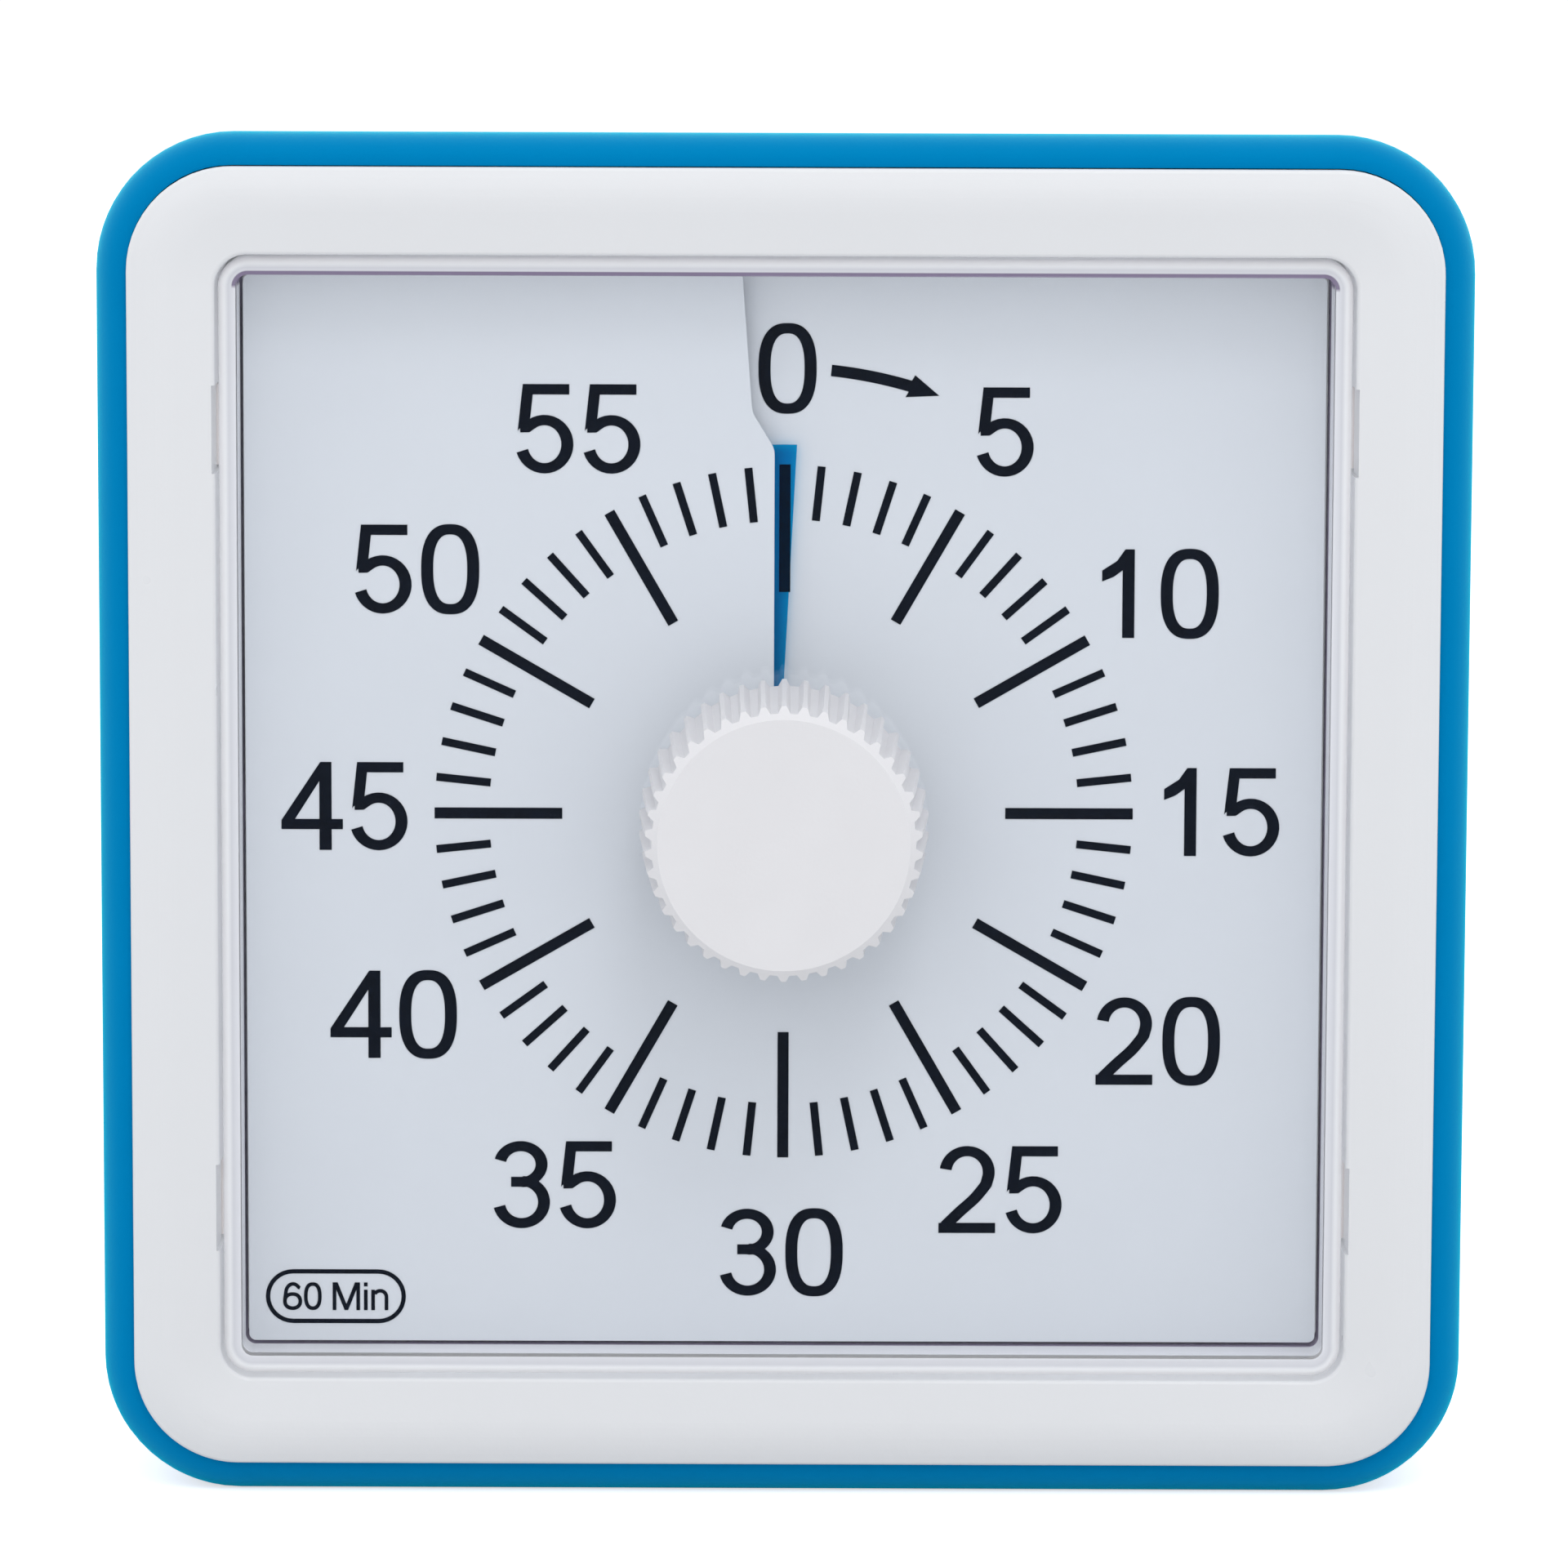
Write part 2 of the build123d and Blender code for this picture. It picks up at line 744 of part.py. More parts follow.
def ribbed_outline(tip_radius):
    """Corners of the knob's outline, small trapezoid ribs on a round core."""
    valley = tip_radius - rib_height
    corners = []
    for rib in range(knob_ribs):
        middle = 2 * pi * rib / knob_ribs
        for radius, width in (
            (valley, -rib_root),
            (tip_radius, -rib_tip),
            (tip_radius, rib_tip),
            (valley, rib_root),
        ):
            angle = middle + width / 2 / radius
            corners.append((radius * sin(angle), radius * cos(angle)))
    return corners


with BuildPart() as knob:
    for depth, tip_radius in ((knob_base, knob_radius), (knob_front, knob_tip_radius)):
        with BuildSketch(dial_plane(depth)):
            with BuildLine():
                Polyline(*ribbed_outline(tip_radius), close=True)
            make_face()
    loft(ruled=True)
    # rounded front edge
    with BuildSketch(Plane(origin=(0, front_y, axis_height), z_dir=(0, 0, 1))):
        with BuildLine():
            Polyline(
                (0, knob_front),
                (knob_tip_radius - knob_edge, knob_front),
                (knob_tip_radius, knob_front + knob_edge),
                (knob_tip_radius, knob_front + 2 * knob_edge),
                (knob_radius + knob_edge, knob_base),
                (0, knob_base),
                close=True,
            )
        make_face()
    revolve(axis=Axis((0, 0, axis_height), (0, 1, 0)), mode=Mode.INTERSECT)
    # hollow underneath, round a stem with a D-shaped socket
    with BuildSketch(dial_plane(knob_base)):
        Circle(knob_tip_radius - rib_height - knob_wall)
    extrude(amount=knob_height - knob_wall, mode=Mode.SUBTRACT)
    with BuildSketch(dial_plane(hub_front)):
        Circle(knob_stem_radius)
    extrude(amount=hub_front - knob_front - knob_wall)
    with BuildSketch(dial_plane(hub_front)):
        Circle(spindle_radius + pilot_gap)
        with Locations((0, spindle_radius + 2 * pilot_gap)):
            Rectangle(2 * spindle_radius, 2 * flat_depth, mode=Mode.SUBTRACT)
    extrude(amount=socket_depth + pilot_gap, mode=Mode.SUBTRACT)
save(knob, "knob")

# ------------------------------------------------------------------ carrier plate
movement_places = four_screws(
    case_pillar_x, case_offset_z - case_pillar_rise, case_offset_z + case_pillar_rise
)
board_places = four_screws(board_post_x, board_post_low, board_post_high)
plate_places = four_screws(plate_screw_x, plate_screw_low, plate_screw_high)

with BuildPart() as carrier_plate:
    with BuildSketch(dial_plane(frame_depth, 0, (plate_top + plate_bottom) / 2)):
        RectangleRounded(plate_width, plate_top - plate_bottom, plate_radius)
    extrude(amount=-plate_thickness)
    with BuildSketch(dial_plane(plate_back)):
        with Locations(*board_places):
            Circle(board_post_radius)
    extrude(amount=plate_back - board_front)
    with BuildSketch(dial_plane(board_front)):
        with Locations(*board_places):
            Circle(small_screw_radius + pilot_gap)
    extrude(amount=board_screw_length, mode=Mode.SUBTRACT)
    with BuildSketch(dial_plane(plate_back)):
        Circle(bush_radius)
        with Locations(*plate_places, *movement_places):
            Circle(small_screw_radius + pilot_gap)
    extrude(amount=plate_thickness, mode=Mode.SUBTRACT)
save(carrier_plate, "carrier_plate")

# ------------------------------------------------------------------ gear train places
centre_place = (0.0, 0.0)
third_distance = tooth_module * (centre_teeth + small_pinion) / 2
second_distance = tooth_module * (third_teeth + small_pinion) / 2
intermediate_distance = tooth_module * (second_teeth + large_pinion) / 2
rotor_distance = tooth_module * (intermediate_teeth + large_pinion) / 2
third_place = step_from(centre_place, third_direction, third_distance)
second_place = step_from(third_place, second_direction, second_distance)
intermediate_place = step_from(second_place, intermediate_direction, intermediate_distance)
rotor_place = step_from(intermediate_place, rotor_direction, rotor_distance)
train_places = [third_place, second_place, intermediate_place, rotor_place]

# ------------------------------------------------------------------ movement case
with BuildPart() as movement_base:
    with BuildSketch(dial_plane(plate_back, 0, case_offset_z)):
        RectangleRounded(case_width, case_height, case_radius)
    extrude(amount=plate_back - base_depth)
    with BuildSketch(dial_plane(base_inner, 0, case_offset_z)):
        RectangleRounded(case_width - 2 * case_wall, case_height - 2 * case_wall, case_wall)
    extrude(amount=base_inner - base_depth, mode=Mode.SUBTRACT)
    with BuildSketch(dial_plane(plate_back)):
        with Locations(*movement_places):
            Circle(case_pillar_radius)
    extrude(amount=plate_back - base_depth)
    with BuildSketch(dial_plane(plate_back)):
        Circle(bush_radius)
        with Locations(*movement_places):
            Circle(small_screw_radius + pilot_gap)
    extrude(amount=plate_back - base_depth, mode=Mode.SUBTRACT)
    with BuildSketch(dial_plane(base_inner)):
        with Locations(*train_places):
            Circle(pivot_radius + shaft_gap)
    extrude(amount=pivot_length + end_play, mode=Mode.SUBTRACT)
save(movement_base, "movement_base")

with BuildPart() as movement_cover:
    with BuildSketch(dial_plane(base_depth, 0, case_offset_z)):
        RectangleRounded(case_width, case_height, case_radius)
    extrude(amount=base_depth - cover_end)
    with BuildSketch(dial_plane(base_depth, 0, case_offset_z)):
        RectangleRounded(case_width - 2 * case_wall, case_height - 2 * case_wall, case_wall)
    extrude(amount=base_depth - cover_inner, mode=Mode.SUBTRACT)
    with BuildSketch(dial_plane(base_depth)):
        with Locations(*movement_places):
            Circle(case_pillar_radius)
    extrude(amount=base_depth - cover_end)
    with BuildSketch(dial_plane(cover_end)):
        Circle(arbor_radius + shaft_gap)
        with Locations(*movement_places):
            Circle(small_screw_radius + pilot_gap)
    extrude(amount=cover_end - base_depth, mode=Mode.SUBTRACT)
    with BuildSketch(dial_plane(cover_end)):
        with Locations(*movement_places):
            Circle(small_screw_head_radius + shaft_gap)
    extrude(amount=small_screw_head + shaft_gap, mode=Mode.SUBTRACT)
    with BuildSketch(dial_plane(cover_inner)):
        with Locations(*train_places):
            Circle(pivot_radius + shaft_gap)
    extrude(amount=-pivot_length - end_play, mode=Mode.SUBTRACT)
save(movement_cover, "movement_cover")

# ------------------------------------------------------------------ gear train


def tooth_outline(teeth, direction, gap=False):
    """Corners of a toothed wheel, a tooth (or a gap) pointing in a direction in degrees."""
    pitch_radius = tooth_module * teeth / 2
    tip_radius = pitch_radius + addendum * tooth_module
    root_radius = pitch_radius - dedendum * tooth_module
    corners = []
    for tooth in range(teeth):
        middle = tooth + (0.5 if gap else 0)
        for radius, side in (
            (root_radius, -tooth_root / 2),
            (tip_radius, -tooth_tip / 2),
            (tip_radius, tooth_tip / 2),
            (root_radius, tooth_root / 2),
        ):
            angle = radians(direction) + 2 * pi * (middle + side) / teeth
            corners.append((radius * cos(angle), radius * sin(angle)))
    return corners


pinion_lead = (pinion_width - wheel_thickness) / 2

with BuildPart() as centre_wheel:
    with BuildSketch(dial_plane(centre_level)):
        with BuildLine():
            Polyline(*tooth_outline(centre_teeth, third_direction), close=True)
        make_face()
        Circle(arbor_radius + shaft_gap, mode=Mode.SUBTRACT)
    extrude(amount=-wheel_thickness)
save(centre_wheel, "centre_wheel")

# each wheel's pinion meets the wheel before it, and its own wheel meets the next pinion
for name, place, leaves, to_driver, teeth, to_next, level in (
    ("third_wheel", third_place, small_pinion, third_direction, third_teeth, second_direction, 0),
    (
        "second_wheel",
        second_place,
        small_pinion,
        second_direction,
        second_teeth,
        intermediate_direction,
        1,
    ),
    (
        "intermediate_wheel",
        intermediate_place,
        large_pinion,
        intermediate_direction,
        intermediate_teeth,
        rotor_direction,
        2,
    ),
):
    with BuildPart() as wheel:
        pinion_front = centre_level + level * level_pitch - pinion_lead
        wheel_front = centre_level + (level + 1) * level_pitch
        with BuildSketch(dial_plane(base_inner - pivot_length, *place)):
            Circle(pivot_radius)
        extrude(amount=base_inner - cover_inner - 2 * pivot_length)
        with BuildSketch(dial_plane(base_inner + end_play, *place)):
            Circle(train_arbor_radius)
        extrude(amount=base_inner - cover_inner + 2 * end_play)
        with BuildSketch(dial_plane(pinion_front, *place)):
            with BuildLine():
                Polyline(*tooth_outline(leaves, to_driver + 180, gap=True), close=True)
            make_face()
        extrude(amount=-pinion_width)
        with BuildSketch(dial_plane(wheel_front, *place)):
            with BuildLine():
                Polyline(*tooth_outline(teeth, to_next), close=True)
            make_face()
        extrude(amount=-wheel_thickness)
    save(wheel, name)

with BuildPart() as rotor:
    rotor_pinion_front = centre_level + 3 * level_pitch - pinion_lead
    with BuildSketch(dial_plane(base_inner - pivot_length, *rotor_place)):
        Circle(pivot_radius)
    extrude(amount=base_inner - cover_inner - 2 * pivot_length)
    with BuildSketch(dial_plane(base_inner + end_play, *rotor_place)):
        Circle(train_arbor_radius)
    extrude(amount=base_inner - cover_inner + 2 * end_play)
    with BuildSketch(dial_plane(rotor_pinion_front, *rotor_place)):
        with BuildLine():
            Polyline(*tooth_outline(large_pinion, rotor_direction + 180, gap=True), close=True)
        make_face()
    extrude(amount=-pinion_width)
    with BuildSketch(dial_plane(magnet_front, *rotor_place)):
        Circle(magnet_radius)
    extrude(amount=-magnet_length)
save(rotor, "rotor")

with BuildPart() as clutch_spring:
    with BuildSketch(dial_plane(shoulder_back)):
        Circle(clutch_spring_radius)
        Circle(arbor_radius + shaft_gap, mode=Mode.SUBTRACT)
    extrude(amount=-clutch_spring_thickness)
save(clutch_spring, "clutch_spring")

with BuildPart() as clutch_clip:
    clip_ring_front = centre_level + wheel_thickness + shaft_gap
    with BuildSketch(dial_plane(clip_ring_front)):
        Circle(clip_ring_radius)
        Circle(arbor_radius, mode=Mode.SUBTRACT)
    extrude(amount=-clip_ring_thickness)
save(clutch_clip, "clutch_clip")

# ------------------------------------------------------------------ stepping motor
with BuildPart() as stator:
    rotor_x, rotor_z = rotor_place
    arm_right = coil_x + core_width / 2
    foot_x = rotor_x + stator_ring - stator_arm
    with BuildSketch(dial_plane(stator_depth)):
        with Locations(rotor_place):
            Circle(stator_ring)
        with Locations((rotor_x, coil_top)):
            Rectangle(arm_right - rotor_x, stator_arm, align=(Align.MIN, Align.MAX))
        with Locations((foot_x, coil_bottom)):
            Rectangle(arm_right - foot_x, stator_arm, align=(Align.MIN, Align.MIN))
            Rectangle(stator_arm, rotor_z - coil_bottom, align=(Align.MIN, Align.MIN))
        with Locations(rotor_place):
            Circle(magnet_radius + stator_gap, mode=Mode.SUBTRACT)
    extrude(amount=-stator_thickness)
save(stator, "stator")

with BuildPart() as coil_core:
    with BuildSketch(dial_plane(stator_depth)):
        with Locations((coil_x, coil_bottom)):
            Rectangle(core_width, coil_top - coil_bottom, align=(Align.CENTER, Align.MIN))
    extrude(amount=stator_thickness)
save(coil_core, "coil_core")

with BuildPart() as coil:
    core_middle = (coil_x, front_y + stator_depth - stator_thickness / 2)
    winding_bottom = axis_height + coil_bottom + winding_inset
    winding_length = coil_top - coil_bottom - 2 * winding_inset
    with BuildSketch(Plane.XY.offset(winding_bottom)):
        with Locations(core_middle):
            RectangleRounded(winding_width, winding_thickness, case_wall)
            Rectangle(core_width + end_play, stator_thickness + end_play, mode=Mode.SUBTRACT)
    extrude(amount=winding_length)
save(coil, "coil")

# ------------------------------------------------------------------ board and what is on it
with BuildPart() as circuit_board:
    with BuildSketch(dial_plane(board_front, 0, (board_top + board_bottom) / 2)):
        RectangleRounded(board_width, board_top - board_bottom, board_radius)
    extrude(amount=-board_thickness)
    with BuildSketch(dial_plane(board_front)):
        Circle(2 * arbor_radius)
        with Locations(*board_places):
            Circle(small_screw_radius + shaft_gap)
    extrude(amount=-board_thickness, mode=Mode.SUBTRACT)
save(circuit_board, "circuit_board")

with BuildPart() as quartz_crystal:
    with BuildSketch(Plane.YZ.offset(crystal_x)):
        with Locations((front_y + board_back + crystal_radius, axis_height + crystal_z)):
            Circle(crystal_radius)
    extrude(amount=crystal_length)
    fillet(quartz_crystal.edges().filter_by(GeomType.CIRCLE), crystal_radius / 4)
save(quartz_crystal, "quartz_crystal")

with BuildPart() as control_chip:
    with BuildSketch(dial_plane(board_back, chip_x, chip_z)):
        Rectangle(chip_size, chip_size)
    extrude(amount=-chip_height, taper=side_draft)
save(control_chip, "control_chip")

with BuildPart() as buzzer:
    with BuildSketch(dial_plane(board_back, 0, buzzer_z)):
        Circle(buzzer_radius)
    extrude(amount=-buzzer_height)
    fillet(buzzer.faces().sort_by(Axis.Y)[-1].edges(), lens_edge)
    with BuildSketch(dial_plane(board_back + buzzer_height, 0, buzzer_z)):
        Circle(buzzer_hole_radius)
    extrude(amount=buzzer_hole_radius, mode=Mode.SUBTRACT)
save(buzzer, "buzzer")

with BuildPart() as zero_cam:
    with BuildSketch(dial_plane(cam_front)):
        Circle(cam_radius)
        with Locations((cam_radius + cam_lobe - cam_lobe_width / 2, 0)):
            Circle(cam_lobe_width / 2)
            Rectangle(cam_lobe_width, cam_lobe_width, align=(Align.MAX, Align.CENTER))
        Circle(arbor_radius, mode=Mode.SUBTRACT)
    extrude(amount=-cam_thickness)
save(zero_cam, "zero_cam")

with BuildPart() as zero_contacts:
    blade_x = cam_radius + cam_lobe + blade_gap + blade_thickness / 2
    with BuildSketch(dial_plane(board_back)):
        with Locations((blade_x, 0), (blade_x + blade_spacing, 0)):
            Rectangle(blade_thickness, blade_length)
    extrude(amount=-blade_height)
save(zero_contacts, "zero_contacts")

# ------------------------------------------------------------------ slide switches
for name, side, travel in (("volume", -1, volume_travel), ("alarm", 1, alarm_travel)):
    foot_run = slider_foot_length + travel + 2 * slider_gap
    case_back = board_back + switch_depth
    with BuildPart() as switch:
        with BuildSketch(dial_plane(board_back, side * switch_x, switch_z)):
            Rectangle(slider_foot_length + travel + 2 * switch_end, switch_height)
        extrude(amount=-switch_depth)
        with BuildSketch(dial_plane(board_back + switch_wall, side * switch_x, switch_z)):
            Rectangle(foot_run, slider_foot_width + 2 * slider_gap)
        extrude(amount=2 * switch_wall - switch_depth, mode=Mode.SUBTRACT)
        with BuildSketch(dial_plane(case_back, side * switch_x, switch_z)):
            Rectangle(slider_length + travel + 2 * slider_gap, slider_width + 2 * slider_gap)
        extrude(amount=2 * switch_wall, mode=Mode.SUBTRACT)
    save(switch, f"{name}_switch")
    with BuildPart() as slider:
        foot_back = case_back - switch_wall - slider_gap
        slider_x = side * switch_x - travel / 2
        with BuildSketch(dial_plane(foot_back, slider_x, switch_z)):
            Rectangle(slider_foot_length, slider_foot_width)
        extrude(amount=slider_foot_thickness)
        with BuildSketch(dial_plane(foot_back, slider_x, switch_z)):
            Rectangle(slider_length, slider_width)
        extrude(amount=foot_back - body_depth + slider_recess)
    save(slider, f"{name}_slider")

# ------------------------------------------------------------------ cell and contacts
cell_centre = (front_y + cell_depth, cell_height)
plate_inner_x = bay_length / 2 - strip_thickness
cell_shoulder_x = plate_inner_x - cell_nub
cell_start_x = cell_shoulder_x - cell_body

with BuildPart() as aa_cell:
    with BuildSketch(Plane.YZ.offset(cell_start_x)):
        with Locations(cell_centre):
            Circle(cell_radius)
    extrude(amount=cell_body)
    fillet(aa_cell.edges().filter_by(GeomType.CIRCLE), lens_edge)
    with BuildSketch(Plane.YZ.offset(cell_shoulder_x)):
        with Locations(cell_centre):
            Circle(cell_nub_radius)
    extrude(amount=cell_nub)
save(aa_cell, "aa_cell")

with BuildPart() as cell_plate:
    with BuildSketch(Plane.YZ.offset(plate_inner_x)):
        with Locations(cell_centre):
            Rectangle(contact_width, contact_width)
            Rectangle(
                strip_width,
                axis_height + strip_top - cell_height,
                align=(Align.CENTER, Align.MIN),
            )
    extrude(amount=strip_thickness)
save(cell_plate, "cell_plate")

with BuildPart() as cell_spring:
    with BuildSketch(Plane.YZ.offset(-bay_length / 2)):
        with Locations(cell_centre):
            Rectangle(contact_width, contact_width)
            Rectangle(
                strip_width,
                axis_height + strip_top - cell_height,
                align=(Align.CENTER, Align.MIN),
            )
    extrude(amount=strip_thickness)
    spring_length = cell_start_x + plate_inner_x - spring_wire + spring_set_in
    with BuildLine() as spring_path:
        Helix(
            pitch=spring_length / spring_turns,
            height=spring_length,
            radius=spring_radius,
            center=(spring_wire / 2 - spring_set_in - plate_inner_x, *cell_centre),
            direction=(1, 0, 0),
        )
    with BuildSketch(Plane(origin=spring_path.line @ 0, z_dir=spring_path.line % 0)):
        RegularPolygon(spring_wire / 2, 6)
    sweep(path=spring_path.line, is_frenet=True)
save(cell_spring, "cell_spring")

# ------------------------------------------------------------------ battery door
with BuildPart() as battery_door:
    with BuildSketch(dial_plane(body_depth, -door_width / 2, cell_offset)):
        Rectangle(door_width / 2 + hinge_x, door_height, align=(Align.MIN, Align.CENTER))
    extrude(amount=door_thickness)
    with BuildSketch(Plane.XY.offset(cell_height - door_height / 2)):
        with Locations((hinge_x, front_y + hinge_depth)):
            Circle(barrel_radius)
    extrude(amount=door_height)
    with BuildSketch(Plane.XY.offset(cell_height - door_height / 2 - pin_length)):
        with Locations((hinge_x, front_y + hinge_depth)):
            Circle(pin_radius)
    extrude(amount=door_height + 2 * pin_length)
    with BuildSketch(dial_plane(body_depth - door_thickness, 0, cell_offset)):
        with GridLocations(pad_spacing, 0, 2, 1):
            Rectangle(2 * pad_height, pad_length)
    extrude(amount=pad_height)
save(battery_door, "battery_door")

# ------------------------------------------------------------------ screws
screw_sets = (
    (
        "case_screws",
        four_screws(boss_x, -boss_z, boss_z),
        body_depth - case_screw_head - head_gap,
        case_screw_radius,
        case_screw_head_radius,
        case_screw_head,
        case_screw_length,
    ),
    (
        "carrier_screws",
        plate_places,
        plate_back,
        small_screw_radius,
        small_screw_head_radius,
        small_screw_head,
        plate_screw_length,
    ),
    (
        "movement_screws",
        movement_places,
        cover_end - small_screw_head,
        small_screw_radius,
        small_screw_head_radius,
        small_screw_head - shaft_gap,
        movement_screw_length,
    ),
    (
        "board_screws",
        board_places,
        board_back,
        small_screw_radius,
        small_screw_head_radius,
        small_screw_head,
        board_screw_length,
    ),
)
for name, places, seat, radius, head_radius, head, length in screw_sets:
    with BuildPart() as screws:
        with BuildSketch(dial_plane(seat)):
            with Locations(*places):
                Circle(radius)
        extrude(amount=length)
        with BuildSketch(dial_plane(seat)):
            with Locations(*places):
                Circle(head_radius)
        extrude(amount=-head)
        with BuildSketch(dial_plane(seat + head)):
            with Locations(*places):
                Rectangle(recess_width, head_radius)
                Rectangle(head_radius, recess_width)
        extrude(amount=min(recess_depth, head / 2), mode=Mode.SUBTRACT)
    save(screws, name)
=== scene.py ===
from math import atan2, ceil, cos, degrees, hypot, pi, radians, sin

import bmesh
import bpy
from mathutils import Matrix, Vector
from mathutils.geometry import tessellate_polygon


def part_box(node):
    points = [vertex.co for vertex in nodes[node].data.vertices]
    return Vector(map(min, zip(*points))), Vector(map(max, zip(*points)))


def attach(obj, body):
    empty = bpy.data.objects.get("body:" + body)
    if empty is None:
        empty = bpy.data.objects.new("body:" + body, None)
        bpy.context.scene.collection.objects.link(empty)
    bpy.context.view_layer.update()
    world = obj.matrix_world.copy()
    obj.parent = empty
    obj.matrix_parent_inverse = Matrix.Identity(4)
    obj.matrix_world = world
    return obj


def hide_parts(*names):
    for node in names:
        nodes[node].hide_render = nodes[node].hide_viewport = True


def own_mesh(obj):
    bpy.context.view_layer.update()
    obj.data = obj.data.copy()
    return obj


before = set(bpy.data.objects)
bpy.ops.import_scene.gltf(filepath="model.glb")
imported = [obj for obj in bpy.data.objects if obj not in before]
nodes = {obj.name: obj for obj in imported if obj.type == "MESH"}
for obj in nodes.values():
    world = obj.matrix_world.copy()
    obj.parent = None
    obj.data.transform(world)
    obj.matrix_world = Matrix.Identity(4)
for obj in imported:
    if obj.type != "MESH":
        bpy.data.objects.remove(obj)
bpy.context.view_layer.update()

# ------------------------------------------------------------------ rear housing
# The tub that everything sits in: blue ABS with a soft sheen, injection moulded in one piece.
# Its lip wraps the white frame, and four long screws from the back clamp the two together.
mm = 0.001
front_y = -14.0  # the crown of the white frame
axis_z = 39.0  # height of the dial's axis


def place(x, depth, z):
    """A point from offsets on a plane behind the frame's crown, measured from the dial's axis."""
    return Vector((x, front_y + depth, axis_z + z)) * mm


def paint(red, green, blue):
    """A colour as written on a screen, as linear light."""
    shares = (red / 255, green / 255, blue / 255)
    return tuple(s / 12.92 if s <= 0.04045 else ((s + 0.055) / 1.055) ** 2.4 for s in shares)


def shade(colour, amount):
    """A colour made lighter or darker by an amount, with full opacity."""
    return tuple(min(1, c * amount) for c in colour) + (1,)


def noise(tree, size, detail, seed):
    """Noise in the object's own space, with features of about a size in millimetres."""
    where = tree.nodes.new("ShaderNodeTexCoord")
    shift = tree.nodes.new("ShaderNodeMapping")
    shift.inputs["Location"].default_value = (seed, 0.7 * seed, 1.3 * seed)
    made = tree.nodes.new("ShaderNodeTexNoise")
    made.inputs["Scale"].default_value = 1 / (size * mm)
    made.inputs["Detail"].default_value = detail
    made.inputs["Roughness"].default_value = 0.55
    tree.links.new(where.outputs["Object"], shift.inputs["Vector"])
    tree.links.new(shift.outputs["Vector"], made.inputs["Vector"])
    return made.outputs["Fac"]


def between(tree, value, first, last, low=0.0, high=1.0):
    """A number that runs from low to high while a value runs from first to last."""
    made = tree.nodes.new("ShaderNodeMapRange")
    made.inputs["From Min"].default_value = first
    made.inputs["From Max"].default_value = last
    made.inputs["To Min"].default_value = low
    made.inputs["To Max"].default_value = high
    tree.links.new(value, made.inputs["Value"])
    return made.outputs["Result"]


def spread(tree, value, low, high):
    """A noise value stretched to run between two numbers."""
    return between(tree, value, 0.25, 0.75, low, high)


def mixed(tree, value, first, second):
    """A colour between two others, by a value from 0 to 1."""
    made = tree.nodes.new("ShaderNodeMix")
    made.data_type = "RGBA"
    made.inputs[6].default_value = first
    made.inputs[7].default_value = second
    tree.links.new(value, made.inputs[0])
    return made.outputs[2]


def finish(name, colour, roughness, patch=6.0, mottle=0.03, grain=0.25, relief=0.02, metallic=0.0):
    """A surface finish: slightly uneven colour and sheen, and a fine grain that catches the light."""
    made = bpy.data.materials.new(name)
    made.use_nodes = True
    tree = made.node_tree
    shader = tree.nodes["Principled BSDF"]
    shader.inputs["Metallic"].default_value = metallic
    cloud = noise(tree, patch, 3, 1.0)
    tint = mixed(tree, cloud, shade(colour, 1 - mottle), shade(colour, 1 + mottle))
    tree.links.new(tint, shader.inputs["Base Color"])
    sheen = spread(tree, noise(tree, patch / 3, 2, 5.0), roughness * 0.9, roughness * 1.1)
    tree.links.new(sheen, shader.inputs["Roughness"])
    bump = tree.nodes.new("ShaderNodeBump")
    bump.inputs["Strength"].default_value = 0.4
    bump.inputs["Distance"].default_value = relief * mm
    tree.links.new(noise(tree, grain, 2, 9.0), bump.inputs["Height"])
    tree.links.new(bump.outputs["Normal"], shader.inputs["Normal"])
    return made


def dress(names, material):
    """Gives CAD nodes a finish."""
    for name in names:
        nodes[name].data.materials.clear()
        nodes[name].data.materials.append(material)


blue_abs = finish("blue moulded ABS", paint(0, 121, 181), 0.45)
blue_shader = blue_abs.node_tree.nodes["Principled BSDF"]
blue_shader.inputs["Specular IOR Level"].default_value = 0.2
blue_shader.inputs["Specular Tint"].default_value = (0, 0.7, 1, 1)
blue_shader.inputs["Sheen Weight"].default_value = 1.0
blue_shader.inputs["Sheen Roughness"].default_value = 0.5
blue_shader.inputs["Sheen Tint"].default_value = (0, 0.8, 1, 1)
dress(["rear_housing"], blue_abs)

# ------------------------------------------------------------------ front frame
# The bezel round the lens: white ABS, moulded with a gentle outward slope and a polished bevel
# at the opening. It drops into the blue lip, and its four bosses take the case screws.
white_abs = finish("white moulded ABS", paint(226, 227, 230), 0.3, 14, 0.006, 0.25, 0.01)
dress(["front_frame"], white_abs)

# ------------------------------------------------------------------ lens
# A clear polystyrene cap over the dial, moulded with a skirt. Four clips on the skirt snap into
# the frame from the front, and a hole in its middle lets the knob's stem through.
skirt_wall = 1.0
skirt_corner = 0.7  # radius of the inner wall's corners
# Painted shade: the skirt's wall is painted dark from this depth back, and along a line by the inner
# wall.
painted_shade_foot = 5.2  # depth from which the wall looks dark
tone_blur = 0.1  # either side of where light turns to dark
shade_line_reach = 0.18  # of the dark tone, outwards from the inner wall
shade_line_fade = 0.06
